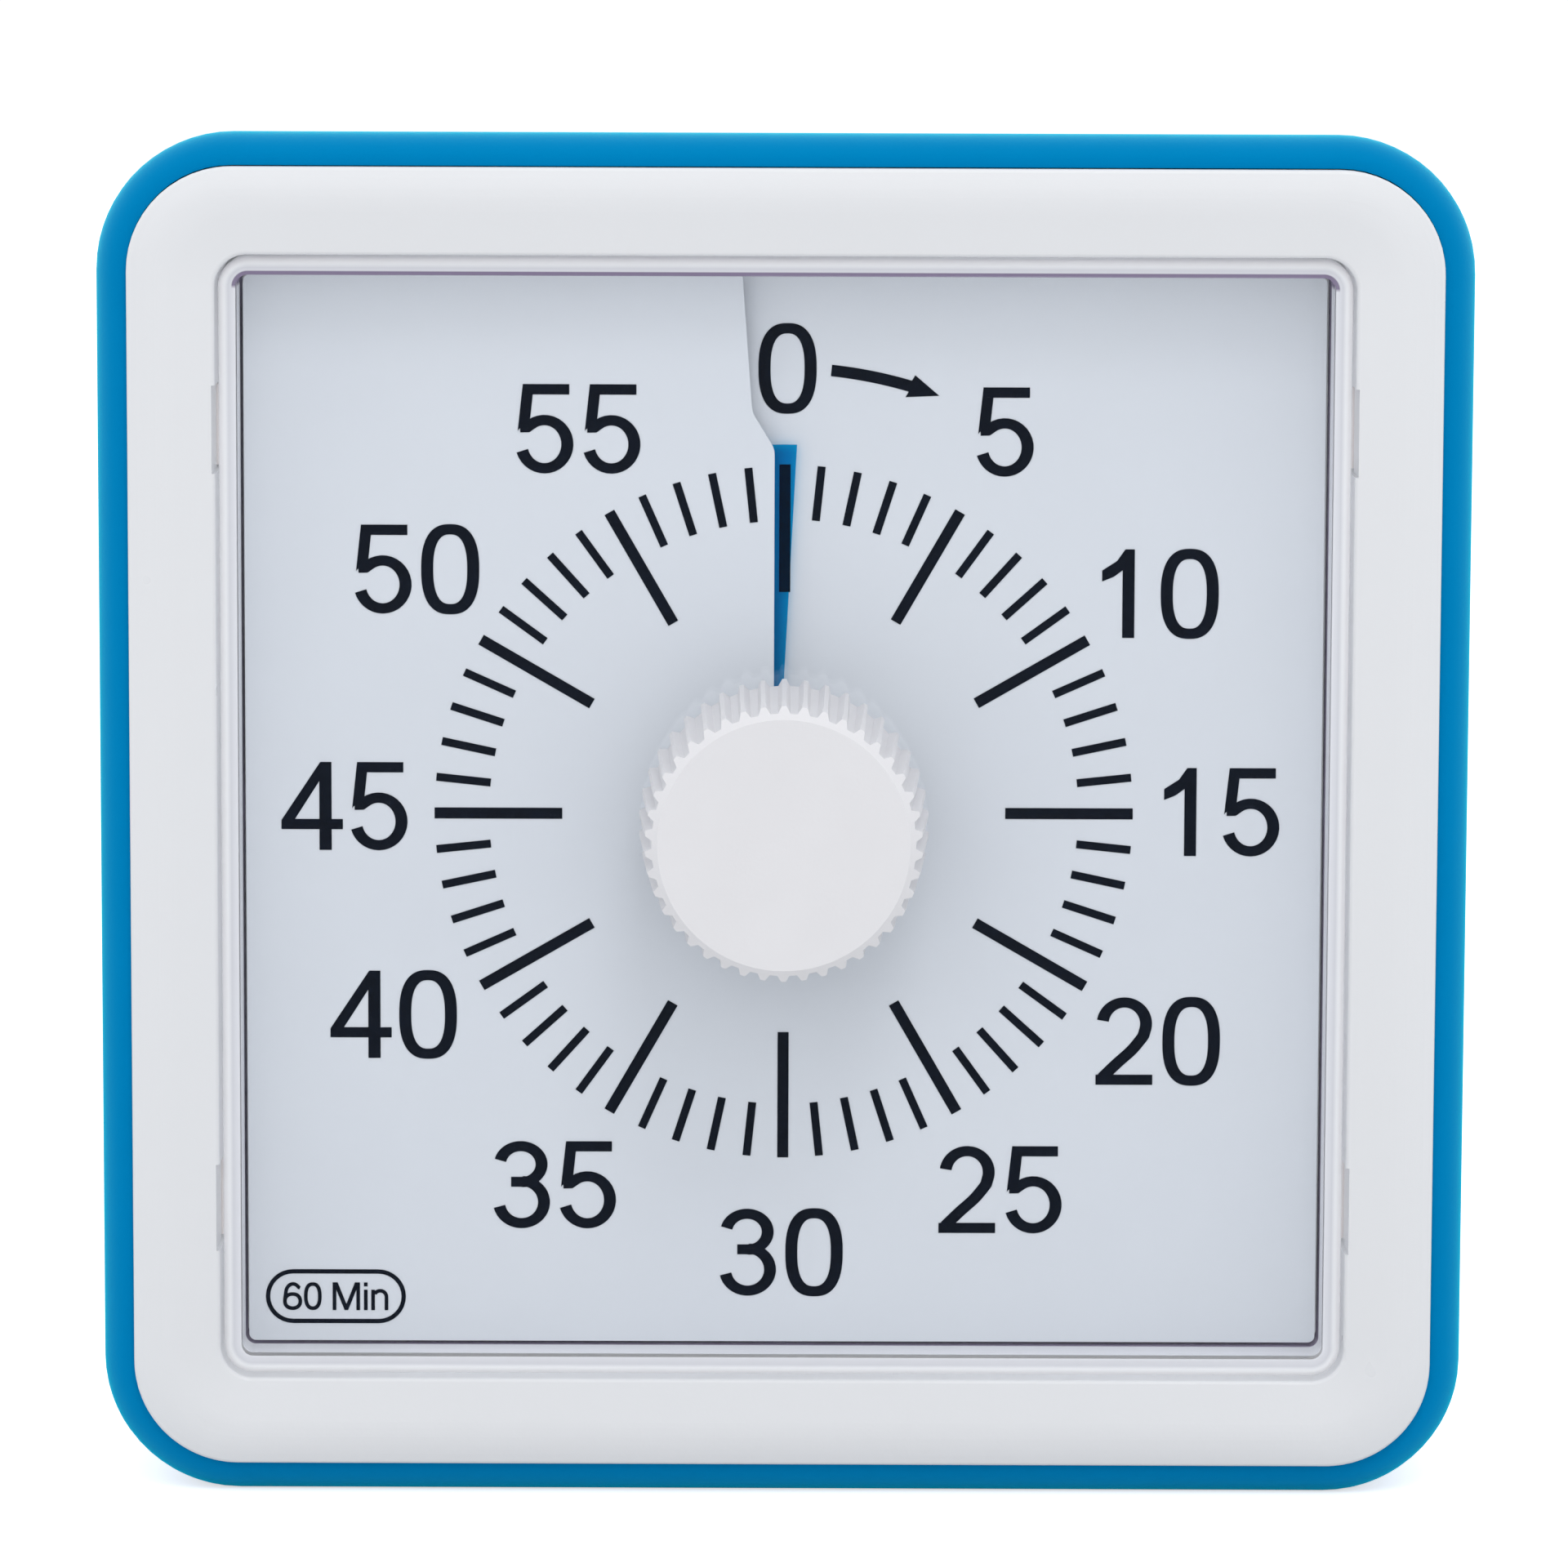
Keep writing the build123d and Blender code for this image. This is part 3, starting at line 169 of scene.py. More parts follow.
# The tone scale below holds painted reflections and painted shade of the clear skirt seen end on:
# light and darker greys, and a pinkish outer edge.
bands_inner = 0.5  # the scale of tones starts this far inside the inner wall
bands_outer = 1.5  # and ends this far outside it
skirt_painted_tones = (
    (0.28, (0.8, 0.81, 0.86)),
    (0.45, (0.7, 0.71, 0.76)),
    (0.55, (0.88, 0.89, 0.92)),
    (0.7, (1.0, 0.99, 1.0)),
    (1.0, (0.85, 0.78, 0.78)),
)
# Painted milky reflection over the skirt, clear inside it.
painted_milky_cover = ((0.24, (0, 0, 0)), (0.245, (0.85, 0.85, 0.85)))  # clear inside, milky outside
# Colour of the painted shade line and foot.
painted_shade_tone = (0.24, 0.2, 0.3, 1)
lens_half = (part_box("lens")[1].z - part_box("lens")[0].z) / 2 / mm
skirt_straight = lens_half - skirt_wall - skirt_corner  # where the inner wall's corners start


def vector_step(tree, operation, first, second=None):
    """One sum on a point."""
    made = tree.nodes.new("ShaderNodeVectorMath")
    made.operation = operation
    tree.links.new(first.outputs[0], made.inputs[0])
    if second is not None:
        made.inputs[1].default_value = second
    return made


def number_step(tree, operation, first, second):
    """One sum on two numbers."""
    made = tree.nodes.new("ShaderNodeMath")
    made.operation = operation
    tree.links.new(first, made.inputs[0])
    tree.links.new(second, made.inputs[1])
    return made.outputs["Value"]


def graded(tree, value, tones):
    """A colour that follows a scale of tones, each given as a position from 0 to 1 and a colour."""
    made = tree.nodes.new("ShaderNodeValToRGB")
    scale = made.color_ramp.elements
    for element, (position, colour) in ((scale[0], tones[0]), (scale[1], tones[-1])):
        element.position = position
        element.color = colour + (1,)
    for position, colour in tones[1:-1]:
        scale.new(position).color = colour + (1,)
    tree.links.new(value, made.inputs[0])
    return made.outputs[0]


def blended(tree, surface, others):
    """A surface that gives way to others in turn, each by its own share."""
    for share, other in others:
        made = tree.nodes.new("ShaderNodeMixShader")
        tree.links.new(share, made.inputs[0])
        tree.links.new(surface.outputs[0], made.inputs[1])
        tree.links.new(other.outputs[0], made.inputs[2])
        surface = made
    return surface.outputs[0]


def wall_distance(tree, where):
    """How far a point lies outside the middles of the skirt's inner corners and the lines between."""
    here = tree.nodes.new("ShaderNodeMapping")
    here.inputs["Location"].default_value = (0, 0, -axis_z * mm)
    here.inputs["Scale"].default_value = (1, 0, 1)
    tree.links.new(where.outputs["Object"], here.inputs[0])
    corner_middle = (skirt_straight * mm, 0, skirt_straight * mm)
    beyond = vector_step(tree, "SUBTRACT", vector_step(tree, "ABSOLUTE", here), corner_middle)
    out = vector_step(tree, "LENGTH", vector_step(tree, "MAXIMUM", beyond, (0, 0, 0)))
    return out.outputs["Value"]


def painted_shade_share(tree, where, outside):
    """Where shade is painted on the skirt: at its foot, and as a dark line under its top."""
    axes = tree.nodes.new("ShaderNodeSeparateXYZ")
    tree.links.new(where.outputs["Object"], axes.inputs[0])
    foot = front_y + painted_shade_foot
    top = axis_z + skirt_straight
    low = between(tree, axes.outputs["Y"], (foot - tone_blur) * mm, (foot + tone_blur) * mm)
    high = between(tree, axes.outputs["Z"], (top - tone_blur) * mm, (top + tone_blur) * mm)
    line_end = skirt_corner + shade_line_reach
    near = between(tree, outside, (line_end + shade_line_fade) * mm, line_end * mm)
    return number_step(tree, "MULTIPLY", number_step(tree, "MAXIMUM", low, high), near)


def clear(name, colour, roughness):
    """Clear plastic that lets lamps through; seen end on, its skirt has a painted milky reflection
    behind a painted dark shade line.
    """
    made = bpy.data.materials.new(name)
    made.use_nodes = True
    tree = made.node_tree
    shader = tree.nodes["Principled BSDF"]
    shader.inputs["Transmission Weight"].default_value = 1
    shader.inputs["IOR"].default_value = 1.5
    tint = mixed(tree, noise(tree, 12, 2, 2.0), shade(colour, 0.99), shade(colour, 1.01))
    tree.links.new(tint, shader.inputs["Base Color"])
    haze = spread(tree, noise(tree, 5, 2, 6.0), roughness * 0.7, roughness * 1.3)
    tree.links.new(haze, shader.inputs["Roughness"])
    where = tree.nodes.new("ShaderNodeTexCoord")
    outside = wall_distance(tree, where)
    start = (skirt_corner - bands_inner) * mm
    end = (skirt_corner + bands_outer) * mm
    bands = between(tree, outside, start, end)
    band = tree.nodes.new("ShaderNodeMix")
    band.data_type = "RGBA"
    # Painted shade mixed over the painted tones.
    band.inputs[7].default_value = painted_shade_tone
    tree.links.new(painted_shade_share(tree, where, outside), band.inputs[0])
    tree.links.new(graded(tree, bands, skirt_painted_tones), band.inputs[6])
    # A diffuse surface that carries the skirt's painted reflection and shade tones.
    skirt = tree.nodes.new("ShaderNodeBsdfDiffuse")
    tree.links.new(band.outputs[2], skirt.inputs["Color"])
    passing = tree.nodes.new("ShaderNodeBsdfTransparent")
    path = tree.nodes.new("ShaderNodeLightPath")
    layers = (
        (graded(tree, bands, painted_milky_cover), skirt),
        (path.outputs["Is Diffuse Ray"], passing),
        (path.outputs["Is Shadow Ray"], passing),
    )
    seen = blended(tree, shader, layers)
    tree.links.new(seen, tree.nodes["Material Output"].inputs["Surface"])
    return made


dress(["lens"], clear("clear polystyrene", (0.985, 0.99, 1.0), 0.02))

# ------------------------------------------------------------------ dial card and its printing
# White plastic sheet, slit from the top edge to its middle and wound up like one turn of a ramp,
# so that the left edge of the slit stands forward. Marks and numerals are screen printed in ink.
card_middle = 5.4
card_rise = 1.2
ink_height = 0.03
ink_foot = 0.05
white_card = finish("white printed sheet", paint(223, 228, 236), 0.55, 9, 0.015, 0.4, 0.008)
dress(["dial_card"], white_card)
black_ink = finish("black screen ink", paint(6, 16, 32), 0.5, 1.2, 0.35, 0.2, 0.01)
black_ink.node_tree.nodes["Principled BSDF"].inputs["Specular IOR Level"].default_value = 0.1


def built(name, points, faces, material, smooth=False):
    """A mesh object from points and faces, with its normals outwards."""
    mesh = bpy.data.meshes.new(name)
    mesh.from_pydata([tuple(p) for p in points], [], faces)
    work = bmesh.new()
    work.from_mesh(mesh)
    bmesh.ops.remove_doubles(work, verts=work.verts, dist=1e-7)
    bmesh.ops.recalc_face_normals(work, faces=work.faces)
    work.to_mesh(mesh)
    work.free()
    for face in mesh.polygons:
        face.use_smooth = smooth
    mesh.materials.append(material)
    made = bpy.data.objects.new(name, mesh)
    bpy.context.scene.collection.objects.link(made)
    return made


def card_face(x, z, clock_angle):
    """How deep the card's face lies at a point, on the turn of the ramp nearest to an angle."""
    angle = degrees(atan2(x, z))
    angle += 360 * round((clock_angle - angle) / 360)
    return card_middle + card_rise * (0.5 - angle / 360)


def stepped(loop, longest):
    """A closed outline with points added, so that it can follow the card's slope."""
    made = []
    for (ax, az), (bx, bz) in zip(loop, loop[1:] + loop[:1]):
        pieces = max(1, ceil(hypot(bx - ax, bz - az) / longest))
        for i in range(pieces):
            made.append((ax + (bx - ax) * i / pieces, az + (bz - az) * i / pieces))
    return made


class Print:
    """Ink shapes on the card, gathered into one mesh."""

    def __init__(self, name):
        self.name = name
        self.points = []
        self.faces = []

    def shape(self, loops, clock_angle):
        """Adds a flat shape: its outline, then any holes, laid on the card."""
        loops = [stepped(loop, 0.6) for loop in loops]
        flat = [point for loop in loops for point in loop]
        start = len(self.points)
        count = len(flat)
        for extra in (-ink_height, ink_foot):
            for x, z in flat:
                self.points.append(place(x, card_face(x, z, clock_angle) + extra, z))
        areas = tessellate_polygon([[Vector((x, z, 0)) for x, z in loop] for loop in loops])
        for a, b, c in areas:
            self.faces.append((start + a, start + b, start + c))
            self.faces.append((start + count + a, start + count + c, start + count + b))
        first = start
        for loop in loops:
            for i in range(len(loop)):
                a, b = first + i, first + (i + 1) % len(loop)
                self.faces.append((a, b, b + count, a + count))
            first += len(loop)

    def done(self):
        """The finished mesh, fixed to the case."""
        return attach(built(self.name, self.points, self.faces, black_ink), "case")


def turned(x, z, clock_angle):
    """A point turned clockwise about the dial's axis."""
    a = radians(clock_angle)
    return (x * cos(a) + z * sin(a), z * cos(a) - x * sin(a))


tick_end = 20.03
minute_length = 3.13
minute_width = 0.46
five_length = 7.32
five_width = 0.635
minutes = Print("minute_marks")
for minute in range(60):
    long_one = minute % 5 == 0
    length = five_length if long_one else minute_length
    half = (five_width if long_one else minute_width) / 2
    corners = [
        (-half, tick_end - length),
        (half, tick_end - length),
        (half, tick_end),
        (-half, tick_end),
    ]
    minutes.shape([[turned(x, z, 6 * minute) for x, z in corners]], 6 * minute)
minutes.done()

# Numerals are drawn as pen strokes of the type's own weight: wider upright than level.
stem = 0.69
bar = 0.59
cap = 5.09


def arc(x, z, across, up, first, last, count=28):
    """Points of an oval arc; angles run from +X towards +Z."""
    made = []
    for i in range(count + 1):
        a = radians(first + (last - first) * i / count)
        made.append((x + across * cos(a), z + up * sin(a)))
    return made


def oval(x, z, across, up, power, count=64):
    """A closed oval with slightly squared shoulders."""
    made = []
    for i in range(count):
        a = 2 * pi * i / count
        c, s = cos(a), sin(a)
        px = across * (1 if c >= 0 else -1) * abs(c) ** (2 / power)
        pz = up * (1 if s >= 0 else -1) * abs(s) ** (2 / power)
        made.append((x + px, z + pz))
    return made


def smooth_line(points, steps=8):
    """A curve through points."""
    padded = [points[0]] + points + [points[-1]]
    made = []
    for a, b, c, d in zip(padded, padded[1:], padded[2:], padded[3:]):
        for i in range(steps):
            t = i / steps
            row = []
            for pa, pb, pc, pd in zip(a, b, c, d):
                bend = (2 * pa - 5 * pb + 4 * pc - pd) * t * t + (3 * pb - pa - 3 * pc + pd) * t ** 3
                row.append(0.5 * (2 * pb + (pc - pa) * t + bend))
            made.append(tuple(row))
    return made + [points[-1]]


def stroke(line, wide=stem, high=bar):
    """The outline of a pen stroke along a line."""
    left, right = [], []
    for i, (x, z) in enumerate(line):
        ax, az = line[max(0, i - 1)]
        bx, bz = line[min(len(line) - 1, i + 1)]
        length = hypot(bx - ax, bz - az)
        nx, nz = -(bz - az) / length, (bx - ax) / length
        left.append((x + nx * wide / 2, z + nz * high / 2))
        right.append((x - nx * wide / 2, z - nz * high / 2))
    return left + right[::-1]


def ring(x, z, across, up, power=2.5, wide=stem, high=bar):
    """The outline and the hole of a closed oval stroke of outer half sizes across and up."""
    return [
        oval(x, z, across, up, power),
        oval(x, z, across - wide, up - high, power),
    ]


digits = {
    "0": [ring(0, cap / 2, 1.66, 2.59)],
    "1": [[[(-0.03, 0), (0.66, 0), (0.66, cap), (0.12, cap), (-0.35, 4.42), (-1.2, 3.87),
            (-1.2, 3.24), (-0.55, 3.5), (-0.03, 3.88)]]],
    "2": [
        [stroke(arc(-0.04, 3.56, 1.25, 1.24, 172, -12)
                + smooth_line([(1.06, 2.85), (0.42, 2.05), (-0.45, 1.25), (-1.3, 0.42)]))],
        [[(-1.68, 0), (1.6, 0), (1.6, bar), (-1.68, bar)]],
    ],
    "3": [
        [stroke(arc(-0.06, 3.74, 1.2, 1.06, 168, -88))],
        [stroke(arc(-0.02, 1.52, 1.3, 1.24, 88, -168))],
        [[(-0.62, 2.42), (0.1, 2.42), (0.1, 3.0), (-0.62, 3.0)]],
    ],
    "4": [[
        [(-1.8, 1.2), (0.38, 1.2), (0.38, 0), (1.08, 0), (1.08, 1.2), (1.72, 1.2),
         (1.72, 1.79), (1.08, 1.79), (1.08, cap), (0.44, cap), (-1.8, 1.72)],
        [(0.38, 1.79), (-1.02, 1.79), (0.38, 3.98)],
    ]],
    "5": [
        [[(-1.27, cap), (1.38, cap), (1.38, cap - bar), (-0.7, cap - bar), (-0.86, 3.02),
          (-1.5, 2.5), (-1.56, 2.42)]],
        [stroke([(-1.42, 2.62)] + arc(-0.04, 1.66, 1.31, 1.38, 136, -164))],
    ],
}


def written(ink, text, x, z, clock_angle):
    """Writes digits centred on a point of the card."""
    pitch = 3.82
    loops = []
    for i, digit in enumerate(text):
        for shape in digits[digit]:
            loops.append([[(px + i * pitch, pz) for px, pz in loop] for loop in shape])
    flat = [p for shape in loops for loop in shape for p in loop]
    middle_x = (min(p[0] for p in flat) + max(p[0] for p in flat)) / 2
    middle_z = cap / 2
    for shape in loops:
        moved = [[(px - middle_x + x, pz - middle_z + z) for px, pz in loop] for loop in shape]
        ink.shape(moved, clock_angle)


numeral_places = [
    (0.12, 25.52),
    (12.57, 21.94),
    (21.5, 12.7),
    (25.14, 0.12),
    (21.6, -13.2),
    (12.57, -21.9),
    (-0.06, -25.6),
    (-13.15, -21.66),
    (-22.42, -11.72),
    (-25.2, 0.38),
    (-20.99, 14.05),
    (-11.77, 22.12),
]
numerals = Print("numerals")
for hour, (x, z) in enumerate(numeral_places):
    written(numerals, str(5 * hour), x, z, 30 * hour)
numerals.done()

arrow_radius = 25.55
arrow_half = 0.33
arrow_barb = 0.68
arrow_tail = 5.9  # degrees past zero, as all of its angles
arrow_neck = 16.2
arrow_tip = 20.1
barb_skew = 0.2
arrow_steps = 12
turn_arrow = Print("turn_arrow")
outer, inner = [], []
for i in range(arrow_steps + 1):
    angle = arrow_tail + (arrow_neck - arrow_tail) * i / arrow_steps
    outer.append(turned(0, arrow_radius + arrow_half, angle))
    inner.append(turned(0, arrow_radius - arrow_half, angle))
head = [
    turned(0, arrow_radius + arrow_barb, arrow_neck + barb_skew),
    turned(0, arrow_radius, arrow_tip),
    turned(0, arrow_radius - arrow_barb, arrow_neck - barb_skew),
]
turn_arrow.shape([outer + head + inner[::-1]], (arrow_tail + arrow_tip) / 2)
turn_arrow.done()

# The range badge: a rounded outline with its lettering.
badge_x = -25.82
badge_z = -28.25
badge_length = 8.1
badge_height = 3.17
badge_line = 0.25
badge_clock = 225
lettering_middle = 3.055
thin = 0.21
letters_height = 1.63


def racetrack(x, z, length, height):
    """A closed outline with two straight sides and two round ends."""
    r = height / 2
    straight = length / 2 - r
    right = arc(x + straight, z, r, r, -90, 90, 16)
    left = arc(x - straight, z, r, r, 90, 270, 16)
    return right + left


badge = Print("range_badge")
badge.shape(
    [
        racetrack(badge_x, badge_z, badge_length, badge_height),
        racetrack(badge_x, badge_z, badge_length - 2 * badge_line, badge_height - 2 * badge_line),
    ],
    badge_clock,
)
badge_letters = [
    ring(0.55, 0.52, 0.55, 0.52, 2.2, thin, thin),
    [stroke([(0.98, 1.3)] + arc(0.58, 0.98, 0.42, 0.55, 40, 178) + [(0.105, 0.6)], thin, thin)],
    ring(1.72, letters_height / 2, 0.51, letters_height / 2, 2.4, thin, thin),
    [[(2.87, 0), (3.08, 0), (3.08, 1.2), (3.56, 0), (3.76, 0), (4.24, 1.2), (4.24, 0), (4.45, 0),
      (4.45, letters_height), (4.16, letters_height), (3.66, 0.36), (3.16, letters_height),
      (2.87, letters_height)]],
    [[(4.68, 0), (4.89, 0), (4.89, 1.2), (4.68, 1.2)]],
    [[(4.68, 1.4), (4.89, 1.4), (4.89, letters_height), (4.68, letters_height)]],
    [[(5.1, 0), (5.31, 0), (5.31, 1.2), (5.1, 1.2)]],
    [stroke(arc(5.62, 0.78, 0.36, 0.36, 150, 0, 16) + [(5.98, 0)], thin, thin)],
]
for shape in badge_letters:
    left = badge_x - lettering_middle
    foot = badge_z - letters_height / 2
    badge.shape([[(x + left, z + foot) for x, z in loop] for loop in shape], badge_clock)
badge.done()

# ------------------------------------------------------------------ film disc
# Translucent blue film, die cut. Its leading edge lies in front of the card at the slit and the
# rest winds back behind it; the knob draws it round, and it slips through the slit as it goes.
film_thickness = 0.2
film_inner = 4.7
film_outer = 21.2
film_anchor = 3.9  # depth towards which the film draws in as it comes out
film_room = 1.6  # from there to its face at the slit
film_keep = 0.4
film_tail = -358.0
film_rings = 8
film_steps = 180
lead_start = 7.8  # radius at which the cut leading edge comes out from under the knob
lead_offset = -0.02  # how far it stands to the right there
lead_slope = 0.0522  # and how much more per millimetre out to the rim


def film_face(angle):
    """How deep the film's face lies at an angle of the disc at rest."""
    return film_anchor + film_room / (1 + angle / 360 * (1 - film_keep))


def film_material():
    """Blue film that shows the print under it: each face takes some of the light away."""
    made = bpy.data.materials.new("blue translucent film")
    made.use_nodes = True
    tree = made.node_tree
    shader = tree.nodes["Principled BSDF"]
    blue = paint(0, 126, 186)
    tint = mixed(tree, noise(tree, 4, 3, 3.0), shade(blue, 0.95), shade(blue, 1.05))
    tree.links.new(tint, shader.inputs["Base Color"])
    sheen = spread(tree, noise(tree, 2, 2, 7.0), 0.3, 0.4)
    tree.links.new(sheen, shader.inputs["Roughness"])
    passing = tree.nodes.new("ShaderNodeBsdfTransparent")
    passing.inputs["Color"].default_value = (0.02, 0.68, 0.87, 1)
    blend = tree.nodes.new("ShaderNodeMixShader")
    blend.inputs[0].default_value = 0.02
    tree.links.new(passing.outputs[0], blend.inputs[1])
    tree.links.new(shader.outputs[0], blend.inputs[2])
    tree.links.new(blend.outputs[0], tree.nodes["Material Output"].inputs["Surface"])
    return made


film_width = film_outer - film_inner
film_radii = [film_inner + film_width * i / film_rings for i in range(film_rings + 1)]
points, faces = [], []
for back in (0, film_thickness):
    for radius in film_radii:
        lead = degrees(atan2(lead_offset + (radius - lead_start) * lead_slope, radius))
        for i in range(film_steps + 1):
            angle = film_tail + (lead - film_tail) * i / film_steps
            x, z = turned(0, radius, angle)
            points.append(place(x, film_face(angle) + back, z))
row = film_steps + 1
layer = row * len(film_radii)
for r in range(len(film_radii) - 1):
    for i in range(film_steps):
        a = r * row + i
        faces.append((a, a + 1, a + row + 1, a + row))
        b = a + layer
        faces.append((b, b + row, b + row + 1, b + 1))
for i in range(film_steps):
    for r in (0, len(film_radii) - 1):
        a = r * row + i
        faces.append((a, a + layer, a + layer + 1, a + 1))
for r in range(len(film_radii) - 1):
    for i in (0, film_steps):
        a = r * row + i
        faces.append((a, a + row, a + row + layer, a + layer))
film = built("blue_film_disc", points, faces, film_material(), smooth=False)
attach(film, "dial")
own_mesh(film)
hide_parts("time_disc")

# ------------------------------------------------------------------ knob
# White ABS, slightly translucent, moulded hollow with forty-two ribs round its skirt. It presses
# onto the flat of the spindle and is the only thing the user turns.
knob_plastic = finish("matt white ABS", paint(225, 224, 227), 0.48)
dress(["knob"], knob_plastic)

# ------------------------------------------------------------------ spindle, hub and bush
# A turned steel spindle in a pressed brass bush carries the knob, the film's natural acetal hub
# with its press-fit collar, and the clutch.
turned_steel = finish("turned steel", paint(184, 184, 188), 0.28, 0.8, 0.08, 0.12, 0.01, 1.0)
turned_brass = finish("turned brass", paint(206, 170, 96), 0.26, 0.8, 0.08, 0.12, 0.01, 1.0)
acetal = finish("natural acetal", paint(232, 230, 222), 0.42, 2.0)
dress(["spindle", "clutch_clip"], turned_steel)
dress(["spindle_bush"], turned_brass)
dress(["disc_hub", "hub_collar", "zero_cam"], acetal)

# ------------------------------------------------------------------ carrier plate
# Grey ABS plate behind the card, moulded with posts for the board. It is screwed to the frame
# and holds the movement.
grey_abs = finish("grey moulded ABS", paint(150, 153, 156), 0.45)
dress(["carrier_plate"], grey_abs)

# ------------------------------------------------------------------ movement
# A quartz movement in a black two-part case: acetal wheels on moulded pivots, a friction clutch
# on the spindle, and a stepping motor with a laminated stator and a wound coil.
black_abs = finish("black moulded ABS", paint(30, 31, 33), 0.4)
nickel = finish("nickel-plated spring", paint(202, 198, 190), 0.22, 1.0, 0.05, 0.15, 0.008, 1.0)
silicon_iron = finish("stamped silicon iron", paint(122, 122, 126), 0.4, 1.0, 0.1, 0.2, 0.01, 1.0)
dress(["movement_base", "movement_cover"], black_abs)
dress(["centre_wheel", "third_wheel", "second_wheel", "intermediate_wheel", "rotor"], acetal)
dress(["clutch_spring"], nickel)
dress(["stator", "coil_core"], silicon_iron)


def wound(name, colour):
    """Enamelled wire wound in even turns across the coil."""
    made = finish(name, colour, 0.3, 1.0, 0.08, 0.15, 0.01, 1.0)
    tree = made.node_tree
    where = tree.nodes.new("ShaderNodeTexCoord")
    turns = tree.nodes.new("ShaderNodeTexWave")
    turns.bands_direction = "Z"
    turns.inputs["Scale"].default_value = 1.3 / mm
    turns.inputs["Distortion"].default_value = 0.4
    bump = tree.nodes.new("ShaderNodeBump")
    bump.inputs["Distance"].default_value = 0.06 * mm
    tree.links.new(where.outputs["Object"], turns.inputs["Vector"])
    tree.links.new(turns.outputs["Fac"], bump.inputs["Height"])
    tree.links.new(bump.outputs["Normal"], tree.nodes["Principled BSDF"].inputs["Normal"])
    return made


dress(["coil"], wound("copper winding", paint(186, 100, 58)))

# ------------------------------------------------------------------ circuit board and its parts
# Green glass-epoxy board on the carrier's posts, with a crystal, a control chip and the alarm
# buzzer.
solder_mask = finish("green solder mask", paint(26, 98, 56), 0.35, 1.5, 0.12, 0.5, 0.02)
epoxy = finish("black epoxy", paint(24, 24, 26), 0.5, 1.0)
tin_can = finish("tinned can", paint(200, 202, 206), 0.25, 0.8, 0.05, 0.1, 0.01, 1.0)
dress(["circuit_board"], solder_mask)
dress(["control_chip", "buzzer"], epoxy)
dress(["quartz_crystal"], tin_can)

# ------------------------------------------------------------------ zero contacts
# Two phosphor bronze blades that the cam on the spindle presses together when the time is out.
# They are stamped, and stand on the back of the board.
bronze = finish("phosphor bronze", paint(198, 148, 98), 0.3, 0.8, 0.08, 0.12, 0.01, 1.0)
dress(["zero_contacts"], bronze)

# ------------------------------------------------------------------ switches
# Two slide switches soldered to the board: folded steel cases with black sliders that show in
# slots of the back.
zinc = finish("zinc-plated steel", paint(198, 200, 205), 0.3, 0.8, 0.06, 0.12, 0.01, 1.0)
dress(["volume_switch", "alarm_switch"], zinc)
dress(["volume_slider", "alarm_slider"], black_abs)

# ------------------------------------------------------------------ cell and its contacts
# One AA cell in a printed sleeve, held between a coil spring and a nickel-plated strip. It lies
# in a bay of the housing, behind the door.
sleeve = finish("printed cell sleeve", paint(44, 48, 54), 0.25, 3.0)
dress(["aa_cell"], sleeve)
dress(["cell_spring", "cell_plate"], nickel)

# ------------------------------------------------------------------ battery door
# Blue ABS like the housing, moulded with two pads for the cell and a hinge barrel at one end.
# Its two pins turn in the housing, and it lies flush with the back when it is shut.
dress(["battery_door"], blue_abs)

# ------------------------------------------------------------------ screws
# Zinc-plated steel screws, four in each place: long ones clamp the two halves of the case, and
# shorter ones hold the carrier, the movement and the board.
dress(["case_screws", "carrier_screws", "movement_screws", "board_screws"], zinc)

# ------------------------------------------------------------------ table, light and camera
# A white table in a white studio: bright walls beside, above and behind the timer, a dark camera
# side, and two soft lamps above the front.


def table():
    """A white table top that melts into the white room and keeps the timer's shadow."""
    half = 1.5
    points = [(-half, -half, 0), (half, -half, 0), (half, half, 0), (-half, half, 0)]
    material = bpy.data.materials.new("white table")
    material.use_nodes = True
    tree = material.node_tree
    shader = tree.nodes["Principled BSDF"]
    shader.inputs["Roughness"].default_value = 0.9
    shader.inputs["Specular IOR Level"].default_value = 0.0
    tint = mixed(tree, noise(tree, 40, 2, 4.0), (0.8, 0.8, 0.8, 1), (0.84, 0.84, 0.84, 1))
    tree.links.new(tint, shader.inputs["Base Color"])
    white = tree.nodes.new("ShaderNodeEmission")
    white.inputs["Strength"].default_value = 0.62
    seen = tree.nodes.new("ShaderNodeAddShader")
    tree.links.new(shader.outputs[0], seen.inputs[0])
    tree.links.new(white.outputs[0], seen.inputs[1])
    dim = tree.nodes.new("ShaderNodeBsdfDiffuse")
    dim.inputs["Color"].default_value = (0.05, 0.055, 0.06, 1)
    path = tree.nodes.new("ShaderNodeLightPath")
    layers = ((path.outputs["Is Camera Ray"], seen), (path.outputs["Is Glossy Ray"], dim))
    top = blended(tree, shader, layers)
    tree.links.new(top, tree.nodes["Material Output"].inputs["Surface"])
    made = built("table_top", points, [(0, 1, 2, 3)], material)


table()

room = bpy.data.worlds.new("white studio")
bpy.context.scene.world = room
room.use_nodes = True
tree = room.node_tree
walls = tree.nodes["Background"]
walls.inputs["Color"].default_value = (0.97, 0.985, 1.0, 1)
seen = tree.nodes.new("ShaderNodeBackground")
seen.inputs["Color"].default_value = (1, 1, 1, 1)
seen.inputs["Strength"].default_value = 1.05
where = tree.nodes.new("ShaderNodeTexCoord")
axes = tree.nodes.new("ShaderNodeSeparateXYZ")
tree.links.new(where.outputs["Generated"], axes.inputs[0])
path = tree.nodes.new("ShaderNodeLightPath")


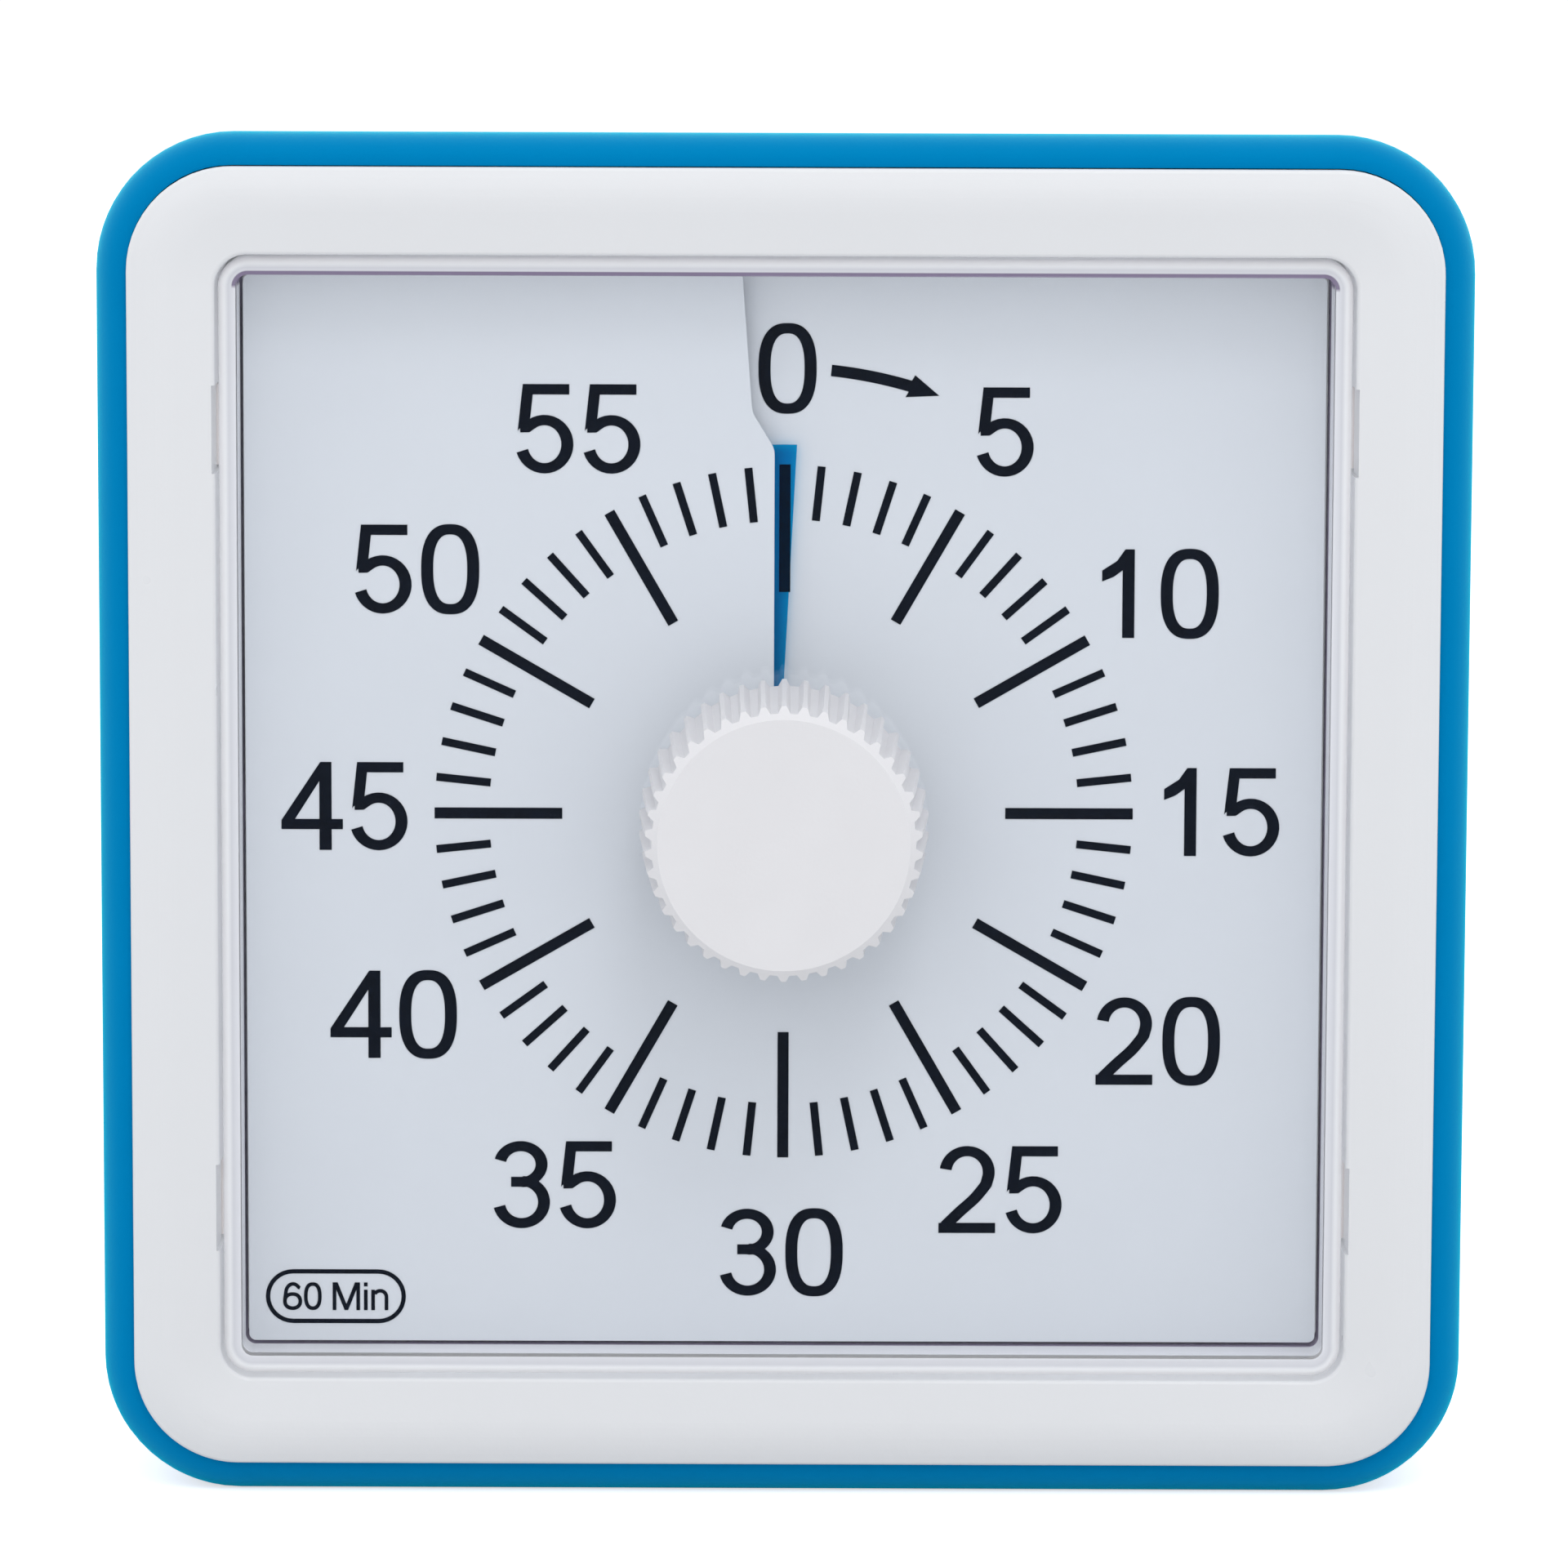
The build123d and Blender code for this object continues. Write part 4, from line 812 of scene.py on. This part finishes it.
front_end = -0.85  # share of the way forward up to which the walls have their front level
side_start = -0.35  # and from which they have their side level


def fading(front, side):
    """How bright the walls are: one level behind the camera, another beside and behind the timer."""
    return between(tree, axes.outputs["Y"], front_end, side_start, front, side)


level = tree.nodes.new("ShaderNodeMix")
tree.links.new(path.outputs["Is Glossy Ray"], level.inputs[0])
tree.links.new(fading(0.62, 1.1), level.inputs[2])
tree.links.new(fading(0.03, 1.0), level.inputs[3])
tree.links.new(level.outputs[0], walls.inputs["Strength"])
studio = blended(tree, walls, [(path.outputs["Is Camera Ray"], seen)])
tree.links.new(studio, tree.nodes["World Output"].inputs["Surface"])


def aimed(thing, where, at):
    """Puts a lamp or camera at a point and turns it to face another."""
    thing.location = where
    thing.rotation_euler = (Vector(at) - Vector(where)).to_track_quat("-Z", "Y").to_euler()


dial_middle = place(0, card_middle, 0)


def soft_lamp(name, wide, high, power, offset):
    """A rectangular lamp that faces the dial from a place beside its middle."""
    lamp = bpy.data.lights.new(name, "AREA")
    lamp.shape = "RECTANGLE"
    lamp.size = wide
    lamp.size_y = high
    lamp.energy = power
    holder = bpy.data.objects.new(name, lamp)
    bpy.context.scene.collection.objects.link(holder)
    aimed(holder, dial_middle + Vector(offset), dial_middle)


soft_lamp("ceiling_lamp", 0.25, 0.2, 0.7, (0.1, -0.5, 0.6))
soft_lamp("front_light", 1.5, 0.8, 3.2, (-0.1, -1.3, 0.6))

focal_length = 171.9
sensor = 36.0
eye_distance = 0.430
tilt = 7.4
roll = 0.2
aim = place(0, card_middle, 1.63)
eye = bpy.data.cameras.new("eye")
eye.lens = focal_length
eye.sensor_width = sensor
eye_object = bpy.data.objects.new("eye", eye)
bpy.context.scene.collection.objects.link(eye_object)
aimed(
    eye_object,
    aim + Vector((0, -cos(radians(tilt)), sin(radians(tilt)))) * eye_distance,
    aim,
)
eye_object.rotation_euler = (
    eye_object.rotation_euler.to_matrix() @ Matrix.Rotation(radians(roll), 3, "Z")
).to_euler()
bpy.context.scene.camera = eye_object
bpy.context.scene.view_settings.view_transform = "Standard"
